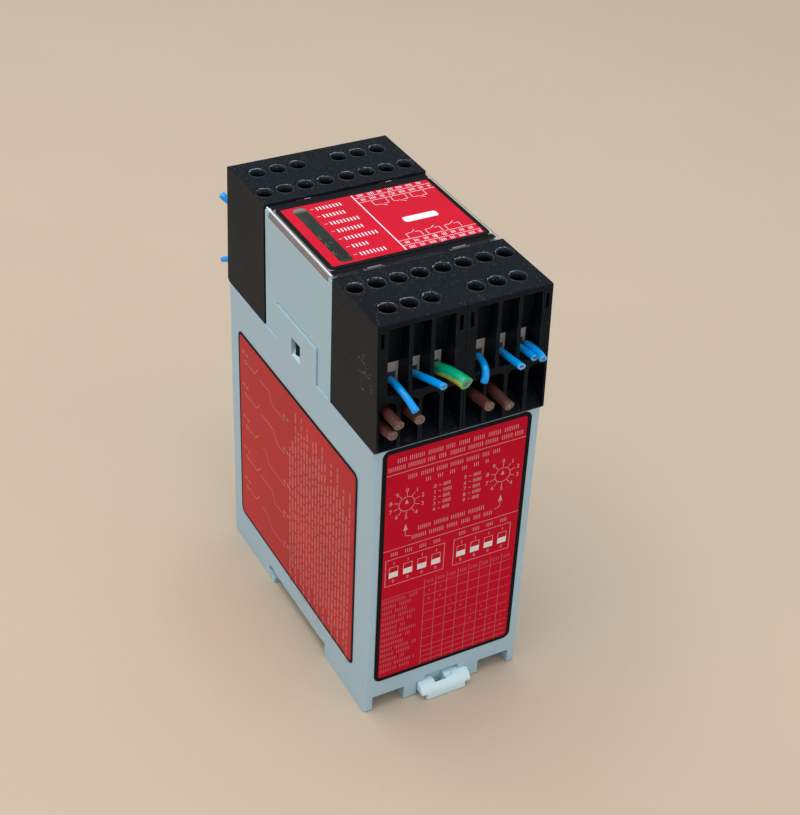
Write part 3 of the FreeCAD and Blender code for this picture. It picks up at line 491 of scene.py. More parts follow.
class Print:
    """Ink laid on a label, and also painted highlights and painted shade: flat shapes drawn in mm on the
    plane they lie on.
    """

    def __init__(self, plane, lift=LIFT):
        self.mesh = bmesh.new()
        self.plane = plane
        self.lift = lift

    def patch(self, corners):
        self.mesh.faces.new([self.mesh.verts.new(corner) for corner in corners])

    def area(self, points):
        self.patch([(u, v, self.lift) for u, v in points])

    def bar(self, u0, u1, v0, v1):
        self.area([(u0, v0), (u1, v0), (u1, v1), (u0, v1)])

    def skirt(self, points, depth):
        """A wall round a closed outline, down to the surface that the label lies on."""
        upper = [self.mesh.verts.new((u, v, self.lift)) for u, v in points]
        lower = [self.mesh.verts.new((u, v, self.lift - depth)) for u, v in points]
        bridge(self.mesh, lower, upper)

    def frame(self, u0, u1, v0, v1, width):
        self.bar(u0, u1, v0, v0 + width)
        self.bar(u0, u1, v1 - width, v1)
        self.bar(u0, u0 + width, v0 + width, v1 - width)
        self.bar(u1 - width, u1, v0 + width, v1 - width)

    def stroke(self, points, width):
        for (u0, v0), (u1, v1) in zip(points, points[1:]):
            run = math.hypot(u1 - u0, v1 - v0)
            du, dv = (u1 - u0) / run * width / 2, (v1 - v0) / run * width / 2
            a, b = (u0 - du, v0 - dv), (u1 + du, v1 + dv)
            self.area([(a[0] + dv, a[1] - du), (b[0] + dv, b[1] - du),
                       (b[0] - dv, b[1] + du), (a[0] - dv, a[1] + du)])

    def ring(self, u, v, radius, width, start=0.0, end=360.0, steps=28):
        inner, outer = radius - width / 2, radius + width / 2
        marks = [math.radians(start + (end - start) * i / steps) for i in range(steps + 1)]
        for a, b in zip(marks, marks[1:]):
            self.area([(u + r * math.cos(mark), v + r * math.sin(mark))
                       for r, mark in ((inner, a), (outer, a), (outer, b), (inner, b))])

    def lines_of_print(self, u0, u1, v, height, seed, upright=False, word=(2.0, 4.5), gap=0.8,
                       pen=None, step=None):
        """A row of plain upright ticks, in groups as long as words, that stands for small print."""
        chance = random.Random(seed)
        pen = pen or height * 0.22
        step = step or pen * 2.6
        at = u0
        while at < u1 - step:
            end = min(u1, at + chance.uniform(*word))
            while at + pen <= end:
                if upright:
                    self.bar(v - height / 2, v + height / 2, at, at + pen)
                else:
                    self.bar(at, at + pen, v - height / 2, v + height / 2)
                at += step
            at = end + gap

    def add_mesh(self, mesh, u, v):
        moved = mesh.copy()
        moved.transform(Matrix.Translation((u, v, self.lift)))
        self.mesh.from_mesh(moved)
        bpy.data.meshes.remove(moved)

    def finish(self, name, body, material):
        data = baked(self.mesh, name)
        data.transform(Matrix.Scale(MM, 4) @ self.plane)
        add_piece(name, data, body, material)


def placed(name, data):
    """A new object of the scene, at the origin."""
    item = bpy.data.objects.new(name, data)
    bpy.context.scene.collection.objects.link(item)
    return item


def plain_mesh(holder):
    """The mesh that a helper object comes to; the helper is thrown away."""
    graph = bpy.context.evaluated_depsgraph_get()
    mesh = bpy.data.meshes.new_from_object(holder.evaluated_get(graph))
    bpy.data.objects.remove(holder)
    return mesh


def add_piece(name, data, body, material=None):
    """A finished piece that rides with a body; without a material it keeps those of its mesh."""
    if material is not None:
        data.materials.clear()
        data.materials.append(material)
    piece = placed(name, data)
    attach(piece, body)
    return piece


def rounded_loop(half_u, half_v, radius, steps=8):
    points = []
    for quarter, (su, sv) in enumerate(((1, 1), (-1, 1), (-1, -1), (1, -1))):
        for i in range(steps + 1):
            angle = math.radians(90 * quarter + 90 * i / steps)
            points.append((su * (half_u - radius) + radius * math.cos(angle),
                           sv * (half_v - radius) + radius * math.sin(angle)))
    return points


def border(name, body, plane, centre, half_u, half_v, radius, width):
    """The black edge of a label, with a wall down to the surface that the label lies on."""
    edge = Print(plane)
    overlap, least = 0.04, 0.3
    outer = rounded_loop(half_u + overlap, half_v + overlap, radius)
    inner = rounded_loop(half_u - width, half_v - width, max(radius - width, least))
    outer, inner = [[(centre[0] + u, centre[1] + v) for u, v in loop] for loop in (outer, inner)]
    edge.skirt(outer, in_mm("label_depth"))
    for i in range(len(outer)):
        j = (i + 1) % len(outer)
        edge.area([outer[i], outer[j], inner[j], inner[i]])
    edge.finish(name, body, film("label_black", (0.008, 0.008, 0.010), 0.5, 0.1, 0.04))


def numeral(text, height):
    """A plain numeral as a flat mesh, centred on its place."""
    curve = bpy.data.curves.new("numeral", "FONT")
    curve.body = text
    curve.size = height * 1.35
    curve.align_x = "CENTER"
    curve.align_y = "CENTER"
    curve.resolution_u = 2
    mesh = plain_mesh(placed("numeral", curve))
    bpy.data.curves.remove(curve)
    return mesh


# ---------------------------------------------------------------- geometry nodes
def repeat_tree(name, ring):
    """Repeats the piece it is given on a grid, or round a ring with each copy turned outwards."""
    if name in bpy.data.node_groups:
        return bpy.data.node_groups[name]
    tree = bpy.data.node_groups.new(name, "GeometryNodeTree")
    face = tree.interface
    face.new_socket("Geometry", in_out="INPUT", socket_type="NodeSocketGeometry")
    if ring:
        wanted = [("Count", "NodeSocketInt", 10), ("Radius", "NodeSocketFloat", 1.0)]
    else:
        wanted = [("Count U", "NodeSocketInt", 4), ("Count V", "NodeSocketInt", 1),
                  ("Length U", "NodeSocketFloat", 1.0), ("Length V", "NodeSocketFloat", 1.0)]
    for label, kind, default in wanted:
        face.new_socket(label, in_out="INPUT", socket_type=kind).default_value = default
    face.new_socket("Finish", in_out="INPUT", socket_type="NodeSocketMaterial")
    face.new_socket("Geometry", in_out="OUTPUT", socket_type="NodeSocketGeometry")
    new, link = tree.nodes.new, tree.links.new
    given, out = new("NodeGroupInput").outputs, new("NodeGroupOutput").inputs
    copies = new("GeometryNodeInstanceOnPoints")
    if ring:
        circle = new("GeometryNodeMeshCircle")
        link(given["Count"], circle.inputs["Vertices"])
        link(given["Radius"], circle.inputs["Radius"])
        places = circle.outputs["Mesh"]
        turn = new("FunctionNodeAlignEulerToVector")
        turn.axis = "X"
        turn.pivot_axis = "Z"
        link(new("GeometryNodeInputPosition").outputs["Position"], turn.inputs["Vector"])
        link(turn.outputs["Rotation"], copies.inputs["Rotation"])
    else:
        grid = new("GeometryNodeMeshGrid")
        link(given["Length U"], grid.inputs["Size X"])
        link(given["Length V"], grid.inputs["Size Y"])
        link(given["Count U"], grid.inputs["Vertices X"])
        link(given["Count V"], grid.inputs["Vertices Y"])
        places = grid.outputs["Mesh"]
    link(places, copies.inputs["Points"])
    link(given["Geometry"], copies.inputs["Instance"])
    real = new("GeometryNodeRealizeInstances")
    link(copies.outputs["Instances"], real.inputs["Geometry"])
    paint = new("GeometryNodeSetMaterial")
    link(real.outputs["Geometry"], paint.inputs["Geometry"])
    link(given["Finish"], paint.inputs["Material"])
    link(paint.outputs["Geometry"], out["Geometry"])
    return tree


def repeated(shape, tree, finish, **values):
    """The plain mesh that a repeat tree makes of a small shape."""
    holder = placed("repeat", shape)
    modifier = holder.modifiers.new("repeat", "NODES")
    modifier.node_group = tree
    wanted = {label.replace("_", " "): value for label, value in values.items()}
    wanted["Finish"] = finish
    for item in tree.interface.items_tree:
        if item.in_out == "INPUT" and item.name in wanted:
            modifier[item.identifier] = wanted[item.name]
    bpy.context.view_layer.update()
    return plain_mesh(holder)


def flat_shape(draw):
    """A small flat shape, drawn in mm round its own middle."""
    sheet = Print(Matrix.Identity(4), lift=0.0)
    draw(sheet)
    return baked(sheet.mesh, "shape")


def in_a_row(shape, count, pitch, finish):
    """Copies of a small shape side by side, centred on its place."""
    return repeated(shape, repeat_tree("repeat_on_grid", False), finish, Count_U=count, Count_V=1,
                    Length_U=(count - 1) * pitch, Length_V=0.0)


def tube(mesh, path, radii, slot):
    """Adds an oval tube along a path and gives back its last ring, for the cut end to go on."""
    sides, rings = 20, []
    for i, here in enumerate(path):
        ahead = (path[min(i + 1, len(path) - 1)] - path[max(i - 1, 0)]).normalized()
        top = Vector((1, 0, 0)).cross(ahead).normalized()
        side = ahead.cross(top)
        wide, tall = radii[i]
        ring = []
        for k in range(sides):
            angle = 2 * math.pi * k / sides
            ring.append(mesh.verts.new(here + side * wide * math.cos(angle) + top * tall * math.sin(angle)))
        rings.append(ring)
    for a, b in zip(rings, rings[1:]):
        for face in bridge(mesh, a, b):
            face.material_index = slot
            face.smooth = True
    mesh.faces.new(rings[0]).material_index = slot
    return rings[-1], path[-1], side, top, ahead


# ---------------------------------------------------------------- operators
class RelayPiece(bpy.types.Operator):
    bl_options = {"REGISTER", "UNDO"}


class RELAY_OT_housing(RelayPiece):
    """Finish the two grey housing parts, and paint shade and highlights into the windows of their snap
    tongues
    """
    bl_idname = "relay.housing"
    bl_label = "Housing"

    def execute(self, context):
        base = tint("housing")
        # the lighter colour on the edges is partly wear, partly painted highlight along the edges
        grey = moulding("housing_plastic", base, toned(base, 1.35, 0.06), roughness=0.46, grain=2300.0,
                        depth=0.000012, wear=0.18, dots=(1000.0, 0.17, 0.06, 0.6), spot=toned(base, 0.45),
                        tone=0.03)
        dress(grey, "base_housing", "top_housing")
        self.snap_windows()
        return {"FINISHED"}

    def snap_windows(self):
        """Dark panels of painted shade in the snap windows, and painted highlights on their sills and upper
        edges.
        """
        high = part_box("base_housing")[1] / MM
        half, tongue = in_mm("catch_width") / 2 - 0.05, in_mm("tongue_width") / 2
        depth, top = in_mm("shade_depth"), high.z - in_mm("catch_drop")
        lit_left, shade_height, sill = 1.7, 4.2, top - 5.1
        # painted shade: dark panels standing in the windows where the shadow falls
        shade = moulding("window_shade", (0.006, 0.008, 0.010), (0.02, 0.03, 0.03), roughness=0.8, shine=0.1)
        # painted highlight: pale film on the sills and along the tongues' upper edges
        pale = film("lit_sill", (0.60, 0.92, 1.0), 0.4, 0.0)
        for number, turn in enumerate((-1, 1), 1):
            plane = side_plane(turn * high.x, turn)
            panel = Print(plane, -depth)
            panel.bar(lit_left - half, half, top - shade_height, top)
            panel.finish(f"window_shade_{number}", "housing", shade)
            lit = Print(plane)
            lit.bar(0.3 - tongue, tongue - 0.6, high.z - 0.20, high.z - 0.02)
            lit.patch([(-half, sill, -0.03), (half, sill, -0.03),
                       (half, sill + 1.8, 0.02 - depth), (-half, sill + 0.4, 0.02 - depth)])
            lit.finish(f"window_sill_{number}", "housing", pale)


class RELAY_OT_blocks(RelayPiece):
    """Finish the black terminal blocks"""
    bl_idname = "relay.blocks"
    bl_label = "Terminal blocks"

    def execute(self, context):
        black = moulding("block_plastic", tint("block"), (0.30, 0.32, 0.36), roughness=0.48, grain=1500.0,
                         depth=0.00003, wear=0.22, tone=0.3, dots=(1700.0, 0.19, 0.22, 0.32), sides=0.1,
                         scratch=0.04, shine=0.11)
        dress(black, *[bay + "_block" for bay in BAYS])
        return {"FINISHED"}


class RELAY_OT_bores(RelayPiece):
    """Rounded lips that lead a screwdriver into the screw bores, with glints on their rims"""
    bl_idname = "relay.bores"
    bl_label = "Bore lips"

    def execute(self, context):
        # the pale bluish edges and specks on the lips are partly wear, partly painted highlight on the rims
        finish = moulding("bore_plastic", (0.010, 0.015, 0.020), (0.36, 0.44, 0.52), roughness=0.45,
                          grain=1100.0, depth=0.00015, wear=0.4, tone=0.5, dots=(1500.0, 0.20, 0.25, 0.45),
                          shine=0.35)
        for bay in BAYS:
            low, high = to_mm(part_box(bay + "_screws"))
            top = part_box(bay + "_block")[1].z / MM
            middle, head = (low.x + high.x) / 2, in_mm("head_radius")
            inner, outer = (low.y, high.y) if "far" in bay else (high.y, low.y)
            rows = ((4, inner + math.copysign(head, inner)), (3, outer - math.copysign(head, outer)))
            self.glints(bay, rows, middle, top)
            mesh = bmesh.new()
            for count, y in rows:
                row = in_a_row(self.lip(), count, in_mm("screw_pitch"), finish)
                row.transform(Matrix.Translation((middle, y, top)))
                mesh.from_mesh(row)
                bpy.data.meshes.remove(row)
            for face in mesh.faces:
                face.smooth = True
            data = baked(mesh, "bore_lips")
            data.transform(Matrix.Scale(MM, 4))
            add_piece("bore_lips_" + bay, data, bay + "_terminals", finish)
        return {"FINISHED"}

    def glints(self, bay, rows, middle, top):
        """Broken bright arcs on the far side of the bores' rims: painted highlights where the rims catch the
        light.
        """
        pitch, radius, arcs_per_bore, steps = in_mm("screw_pitch"), in_mm("bore_radius"), 9, 4
        chance = random.Random(len(bay))
        arcs = Print(top_plane(top))
        for count, y in rows:
            for column in range(count):
                u = middle + (column - (count - 1) / 2) * pitch
                for _ in range(arcs_per_bore):
                    start = chance.triangular(15.0, 150.0, 80.0)
                    arcs.ring(u, y, radius - chance.uniform(0.05, 0.36), chance.uniform(0.12, 0.32),
                              start, start + chance.uniform(6.0, 24.0), steps)
        # painted highlight on the rims
        pale = film("rubbed_rim", (0.20, 0.27, 0.33), 0.4, 0.3)
        arcs.finish("bore_glints_" + bay, bay + "_terminals", pale)

    def lip(self):
        """One lip: a ring with a rounded section, in mm, its rim level with the block's top."""
        radius, steps = in_mm("bore_radius"), 28
        # how far each ring of the section stands inside the bore, and its height
        section = ((0.0, -0.01), (0.08, -0.04), (0.24, -0.24), (0.38, -0.7), (0.46, -1.5), (0.0, -1.9))
        turns = [2 * math.pi * i / steps for i in range(steps)]
        mesh = bmesh.new()
        rings = []
        for inset, z in section:
            r = radius - inset
            rings.append([mesh.verts.new((r * math.cos(turn), r * math.sin(turn), z)) for turn in turns])
        for a, b in zip(rings, rings[1:] + rings[:1]):
            bridge(mesh, a, b)
        bmesh.ops.recalc_face_normals(mesh, faces=mesh.faces)
        return baked(mesh, "lip")


class RELAY_OT_scuffs(RelayPiece):
    """Thin pale scratches on the floors of the wire entries, and rub marks on the left block's side"""
    bl_idname = "relay.scuffs"
    bl_label = "Scuffs"

    def execute(self, context):
        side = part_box("near_left_block")[0].x / MM
        rubs = Print(side_plane(side, -1), 0.02)
        rub_count, rub_u, rub_v = 26, (36.0, 1.9), (97.2, 2.2)  # middle and spread of the marks
        chance = random.Random(4)
        for _ in range(rub_count):
            u, v = chance.gauss(*rub_u), chance.gauss(*rub_v)
            run, lean = chance.uniform(0.12, 0.75), chance.uniform(-0.5, 0.4)
            rubs.stroke([(u, v), (u + run, v + lean * run)], chance.uniform(0.07, 0.13))
        rubs.finish("side_rubs", "near_left_terminals", film("rubbed", (0.30, 0.29, 0.24), 0.6, 0.3))
        pale = film("scuff", (0.20, 0.22, 0.24), 0.6, 0.3)
        scratch_count, entry = 5, (-40.6, -37.5)  # in each entry; their outer and inner reach
        for bay in ("near_left", "near_right"):
            low, high = to_mm(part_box(bay + "_block"))
            chance = random.Random(len(bay))
            marks = Print(top_plane(low.z + in_mm("entry_floor")), 0.03)
            for column in range(4):
                middle = (low.x + high.x) / 2 + (column - 1.5) * in_mm("screw_pitch")
                for _ in range(scratch_count):
                    u, v = middle + chance.uniform(-1.6, 1.2), chance.uniform(*entry)
                    run, lean = chance.uniform(0.6, 2.6), chance.uniform(0.1, 0.5)
                    points = [(u + lean * run * t * t, v + run * t) for t in (0.0, 0.35, 0.7, 1.0)]
                    marks.stroke(points, chance.uniform(0.03, 0.08))
            marks.finish("scuffs_" + bay, bay + "_terminals", pale)
        return {"FINISHED"}


class RELAY_OT_metal(RelayPiece):
    """Finish screws, clamps, contacts, pins and the latch spring"""
    bl_idname = "relay.metal"
    bl_label = "Metal parts"

    def execute(self, context):
        zinc = metal("zinc_plate", (0.62, 0.61, 0.58), 0.3, (0.42, 0.40, 0.36))
        cage = metal("dull_zinc", (0.60, 0.57, 0.52), 0.5, (0.46, 0.44, 0.40), full=0.35)
        tin = metal("tinned_brass", (0.70, 0.64, 0.50), 0.3, (0.50, 0.44, 0.34))
        for kind, finish in (("_screws", zinc), ("_clamps", cage), ("_contacts", tin)):
            dress(finish, *[bay + kind for bay in BAYS])
        dress(tin, "header_pins")
        self.spring(metal("spring_wire", (0.52, 0.52, 0.53), 0.28, (0.36, 0.35, 0.34)))
        return {"FINISHED"}

    def spring(self, steel):
        """The latch spring as a plain copy that rides with the housing; the real spring shortens against its
        stop as the latch is pulled out, which this copy does not.
        """
        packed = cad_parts["latch_spring"]
        data = packed.data.copy()
        data.transform(packed.matrix_world)
        coil = add_piece("coil_spring", data, "housing", steel)
        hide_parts("latch_spring")
        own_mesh(coil)


class RELAY_OT_latch(RelayPiece):
    """Finish the pale rail latch"""
    bl_idname = "relay.latch"
    bl_label = "Rail latch"

    def execute(self, context):
        pale = moulding("latch_plastic", tint("latch"), (0.9, 0.95, 0.95), roughness=0.36, grain=1200.0,
                        wear=0.3, tone=0.05)
        dress(pale, "rail_latch")
        return {"FINISHED"}


class RELAY_OT_cover(RelayPiece):
    """Finish the clear cover, its label and the smoked window"""
    bl_idname = "relay.cover"
    bl_label = "Clear cover"

    def execute(self, context):
        dress(clear_plastic("clear_plastic"), "clear_cover")
        dress(film("label_red_bright", tint("label"), 0.32), "cover_label")
        dress(smoked_plastic("smoked_window"), "led_window")
        self.bright_edges()
        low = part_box("led_window")[0] / MM
        first_u, first_v = low.x + 1.25, low.y + 4.6
        arcs = Print(cover_plane())
        for row in range(3):
            arcs.ring(first_u, first_v + LIGHT_PITCH * row, 1.0, 0.16, 120, 235, 12)
        arcs.finish("window_glints", "cover", film("window_glint", (0.10, 0.20, 0.13), 0.35, 0.2))
        return {"FINISHED"}

    def bright_edges(self):
        """Painted highlights on the cover's cut edges, where clear plastic gathers the light: a rim on top,
        a line below.
        """
        low, high = to_mm(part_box("clear_cover"))
        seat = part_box("top_housing")[1].z / MM - in_mm("cover_drop")
        # painted highlights: bright on the left edges, dim on the right
        pale = film("clear_edge", (0.76, 0.84, 0.85), 0.25, 0.1)
        dull = film("clear_edge_dull", (0.24, 0.25, 0.26), 0.25, 0.3)
        for number, (u, finish) in enumerate(((low.x + 0.05, pale), (high.x - 0.45, dull)), 1):
            rim = Print(top_plane(high.z))
            rim.bar(u, u + 0.40, low.y + 0.3, high.y - 0.3)
            rim.finish(f"cover_rim_{number}", "cover", finish)
        self.margins(low, high)
        for number, (x, turn) in enumerate(((low.x, -1), (high.x, 1)), 1):
            line = Print(side_plane(x, turn))
            for v0, v1 in ((high.z - 0.28, high.z - 0.06), (seat + 0.08, seat + 0.34)):
                line.bar(low.y + 0.4, high.y - 0.4, v0, v1)
            line.finish(f"cover_edge_{number}", "cover", pale)

    def margins(self, low, high):
        """Dark strips past the label's ends and on the cover's tabs, with a glint on each tab."""
        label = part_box("cover_label")[1].y / MM
        tab, dark_half, glint_half = 11.1, 2.6, 1.3
        margin, glints = Print(top_plane(high.z)), Print(top_plane(high.z), 2 * LIFT)
        for side in (1, -1):
            strips = [(margin, low.x + 0.75, high.x - 0.75, label + 0.05, high.y - 0.55)]
            for u in (-tab, tab):
                strips.append((margin, u - dark_half, u + dark_half, high.y - 0.55, high.y - 0.01))
                strips.append((glints, u - glint_half + side * 0.5, u + glint_half - side * 0.5,
                               high.y - 0.5, high.y - 0.2))
            for layer, u0, u1, v0, v1 in strips:
                layer.bar(u0, u1, *sorted((side * v0, side * v1)))
        margin.finish("cover_margin", "cover", film("dark_margin", (0.006, 0.007, 0.009), 0.5, 0.1, 0.04))
        glints.finish("tab_glints", "cover", film("tab_glint", (0.26, 0.20, 0.22), 0.3, 0.3))


class RELAY_OT_cover_print(RelayPiece):
    """Print the border, the leader lines and the terminal tables on the cover label"""
    bl_idname = "relay.cover_print"
    bl_label = "Cover print"

    def execute(self, context):
        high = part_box("cover_label")[1] / MM
        border("cover_border", "cover", cover_plane(), (0, 0), high.x, high.y, 1.6, in_mm("cover_border"))
        ink, line = Print(cover_plane()), in_mm("hairline")
        ink.bar(-1.15, -0.85, -14.4, 14.4)
        word_start, word_ends = -11.6, (-4.2, -5.2, -3.6, -5.0, -2.6, -6.9, -5.0)
        for row, end in enumerate(word_ends):
            v = LIGHT_PITCH * (3 - row)
            ink.bar(-13.2, -12.3, v + 0.1, v + 0.1 + line)
            ink.lines_of_print(word_start, end, v, 1.55, 30 + row, word=(7.5, 9.5), pen=0.34)
        for side in (1, -1):
            self.terminals(ink, side, line)
        plate = flat_shape(lambda p: p.area(rounded_loop(4.6, 1.25, 0.8, 5)))
        ink.add_mesh(plate, 9.6, -1.6)
        ink.finish("cover_print", "cover", film("ink_white", tint("white"), 0.42, 0.02))
        return {"FINISHED"}

    def terminals(self, ink, side, line):
        """The table of terminals along one side of the label, and three contacts next to it."""
        inner, outer, edge, left, right = side * 10.2, side * 12.5, side * 14.6, -0.9, 20.0
        for v in (inner, outer):
            ink.bar(left, right, v - line / 2, v + line / 2)
        ink.bar(8.4, 8.4 + line, min(inner, edge), max(inner, edge))
        for row, v in enumerate((11.35, 13.6)):
            ink.lines_of_print(0.3, 19.6, side * v, 1.1, 50 + row + 5 * side, word=(1.2, 1.8), gap=1.1,
                               pen=0.17)
        v = side * 8.7
        for column in range(3):
            u = 4.2 + 5.2 * column
            ink.stroke([(u - 1.9, v + side), (u - 1.9, v - side), (u - 0.4, v - side),
                        (u + 0.9, v - 2 * side)], line)
            ink.stroke([(u + 0.6, v - side), (u + 1.9, v - side), (u + 1.9, v + side)], line)


class RELAY_OT_front_print(RelayPiece):
    """Print the border, dials, switch settings and table on the front label"""
    bl_idname = "relay.front_print"
    bl_label = "Front print"

    small = {"pen": 0.15, "step": 0.52}
    short = {"word": (3, 4), **small}
    # left end, right end, height on the relay and height of the letters
    headings = ((-16.0, 16.6, 75.0, 1.25), (-18.3, 18.2, 72.9, 1.25), (-13.0, 12.5, 69.4, 1.2),
                (-8.2, 8.8, 67.2, 1.1), (-9.6, 9.4, 53.0, 1.25), (-11.2, 11.2, 50.6, 1.25))
    half_rule, dial_v, arrow_v, list_v, switch_v = 18.8, 61.5, 53.4, 64.2, 41.3

    def execute(self, context):
        low, high = to_mm(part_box("front_label"))
        u, v = (low.x + high.x) / 2, (low.z + high.z) / 2
        half_u, half_v = (high.x - low.x) / 2, (high.z - low.z) / 2
        red = film("front_label_film", tint("front_label"), 0.42, 0.08, 0.02)
        dress(red, "front_label")
        rise = in_mm("label_head")
        border("front_border", "housing", front_plane(), (u, v + rise / 2), half_u, half_v + rise / 2, 2.0,
               in_mm("front_border"))
        head = Print(front_plane(), LIFT / 2)
        head.bar(u - half_u + 0.7, u + half_u - 0.7, v + half_v - 2.0, v + half_v + rise - 0.7)
        head.finish("label_head", "housing", red)

        pale = film("ink_pale", tint("ink"), 0.45, 0.02)
        white = film("switch_white", tint("white"), 0.45, 0.02, 0.05)
        ink, knobs, line = Print(front_plane()), Print(front_plane()), in_mm("hairline")
        for seed, heading in enumerate(self.headings, 1):
            apart = {"word": (1.3, 1.5), "gap": 1.9} if seed == 4 else {}
            ink.lines_of_print(*heading, seed, **self.small, **apart)
        for v in (71.2, 48.4):
            ink.bar(-self.half_rule, self.half_rule, v, v + line)
        for u in (-13.1, 13.1):
            self.dial(ink, u, self.dial_v, pale)
            v, hook = self.arrow_v, math.copysign(1.5, -u)
            ink.area([(u - 0.6, v), (u + 0.6, v), (u, v + 2.0)])
            ink.stroke([(u, v), (u, v - 1.7), (u + hook, v - 2.1)], line)
        for column, u in enumerate((-5.6, 2.6)):
            for row in range(5):
                v = self.list_v - 1.75 * row
                ink.add_mesh(numeral(str(row + 5 * column), 1.15), u, v)
                ink.bar(u + 1.0, u + 1.7, v - line / 2, v + line / 2)
                end = u + 4.2 + 0.5 * (row % 2)
                ink.lines_of_print(u + 2.3, end, v, 1.0, 20 + row, word=(3, 4), pen=0.13)
        frame_low, frame_high = 37.1, 45.5
        for left, right in ((-18.1, -1.8), (0.7, 16.9)):
            ink.frame(left, right, frame_low, frame_high, line)
            self.switches(ink, knobs, (left + right) / 2, pale, white)
        ink.finish("front_print", "housing", pale)
        knobs.finish("switch_marks", "housing", white)
        self.table()
        return {"FINISHED"}

    def dial(self, ink, u, v, finish):
        radius, line = in_mm("dial_radius"), in_mm("hairline")
        ink.ring(u, v, radius, line)
        tick = flat_shape(lambda p: p.bar(-0.65, 0.65, -line / 2, line / 2))
        ticks = repeated(tick, repeat_tree("repeat_on_ring", True), finish, Count=sizes().dial_ticks,
                         Radius=radius + 0.85)
        ticks.transform(Matrix.Rotation(math.radians(90), 4, "Z"))
        ink.add_mesh(ticks, u, v)
        ink.area([(u - 0.5, v + 0.1), (u + 0.5, v + 0.1), (u, v + 1.3)])
        oval_u, oval_v = 4.5, 4.1
        for number in range(10):
            angle = math.radians(90 - 36 * number)
            place = (u + oval_u * math.cos(angle), v + oval_v * math.sin(angle))
            ink.add_mesh(numeral(str(number), 1.25), *place)

    def switches(self, ink, knobs, middle, pale, white):
        """Four printed slide switches, each with its knob, a 1, a 0 and a word over it."""
        line, half, up = in_mm("hairline"), 1.25, 1.7
        window = flat_shape(lambda p: (p.bar(-half, line - half, 0.0, up - line),
                                       p.bar(half - line, half, 0.0, up - line),
                                       p.bar(-half, half, up - line, up)))
        knob = flat_shape(lambda p: p.bar(-half, half, -up, 0.0))
        word = flat_shape(lambda p: p.lines_of_print(-0.9, 0.9, 0.0, 1.1, 8, **self.short))
        for shape, layer, finish, rise in ((window, ink, pale, 0.0), (knob, knobs, white, 0.0),
                                           (numeral("1", 1.0), ink, pale, 2.7),
                                           (numeral("0", 1.0), ink, pale, -2.9), (word, ink, pale, 5.6)):
            row = in_a_row(shape, 4, in_mm("switch_pitch"), finish)
            layer.add_mesh(row, middle, self.switch_v + rise)

    def table(self):
        """The settings table below the switches, in fainter ink."""
        ink, line = Print(front_plane()), in_mm("hairline")
        columns, pitch, left, head, row_drop, last_drop = 8, 3.14, -6.9, 33.0, 2.9, 1.7
        foot, heads_top, heads_v, notes_v = 6.8, 35.8, 34.6, 31.9
        ink.bar(-self.half_rule, 18.2, head, head + line)
        for i in range(columns):
            u = left + i * pitch
            ink.bar(u, u + line, foot, head)
            ink.bar(u, u + line, head + line, heads_top)
            ink.lines_of_print(u + 0.7, u + 2.5, heads_v, 1.1, 40 + i, **self.short)
        rows = [head - row_drop * (i + 1) for i in range(7)]
        rows += [rows[-1] - last_drop * (i + 1) for i in range(3)]
        for v in rows:
            for i in range(columns):
                ink.bar(left + i * pitch + line, left + (i + 1) * pitch, v, v + line)
        for i in range(14):
            end, v = -8.4 - (i % 3) * 1.6, notes_v - 1.78 * i
            ink.lines_of_print(-18.4, end, v, 1.15, 70 + i, word=(2.5, 7.0), pen=0.15, step=0.5)
        for i in range(columns):
            for step in (0, 1):
                u = left + 1.55 + pitch * (i - i % 2 + step)
                ink.add_mesh(numeral("10"[i % 2], 1.0), u, head - row_drop / 2 - row_drop * i)
        ink.finish("front_table", "housing", film("ink_faint", tint("faint_ink"), 0.45, 0.02))


class RELAY_OT_side_print(RelayPiece):
    """Print the border, the circuit lines and the notes on the side label"""
    bl_idname = "relay.side_print"
    bl_label = "Side print"

    bends = (-16.0, -13.0, -18.0, -14.5, -17.0)
    # how far each column of notes ends below the label's top
    drops = (17, 13, 4, 9, 3.5, 8, 4.5, 12, 6, 5, 9, 4, 8, 14, 6, 11, 5, 13, 9, 16, 7)

    def execute(self, context):
        low, high = to_mm(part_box("side_label"))
        centre = (-(low.y + high.y) / 2, (low.z + high.z) / 2)
        dress(film("label_red_faded", tint("side_label"), 0.36, 0.3, 0.07), "side_label")
        plane = side_plane(low.x, -1)
        border("side_border", "housing", plane, centre, (high.y - low.y) / 2, (high.z - low.z) / 2, 2.0,
               in_mm("side_border"))
        ink, line = Print(plane), in_mm("hairline")
        first_v, circuit_pitch, column_pitch = 60.0, 10.5, 1.7
        for row, bend in enumerate(self.bends):
            v = first_v - circuit_pitch * row
            ink.stroke([(-30.0, v), (-25.0 + row % 2, v), (-23.0 + row % 2, v + 2.2)], line)
            ink.stroke([(-22.0 + row % 3, v), (bend, v), (bend + 1.8, v - 3.0), (-6.0, v - 3.0)], line)
            ink.ring(-30.8, v, 0.6, line, steps=14)
            ink.lines_of_print(-7.0, -3.6, v - 1.6, 0.9, 60 + row, word=(1.0, 1.6), pen=0.16, step=0.42)
            ink.lines_of_print(-33.0, -29.0, v + 2.6, 0.7, 90 + row, word=(1.4, 2.2))
        for column, drop in enumerate(self.drops):
            foot, u = 5.0 + 2.2 * ((column * 3) % 5), -3.0 + column_pitch * column
            ink.lines_of_print(foot, high.z - drop, u, 0.75, 120 + column, upright=True, word=(1.2, 4.0),
                               gap=0.7, pen=0.15)
        ink.finish("side_print", "housing", film("ink_faded", (0.72, 0.36, 0.35), 0.45, 0.05))
        return {"FINISHED"}


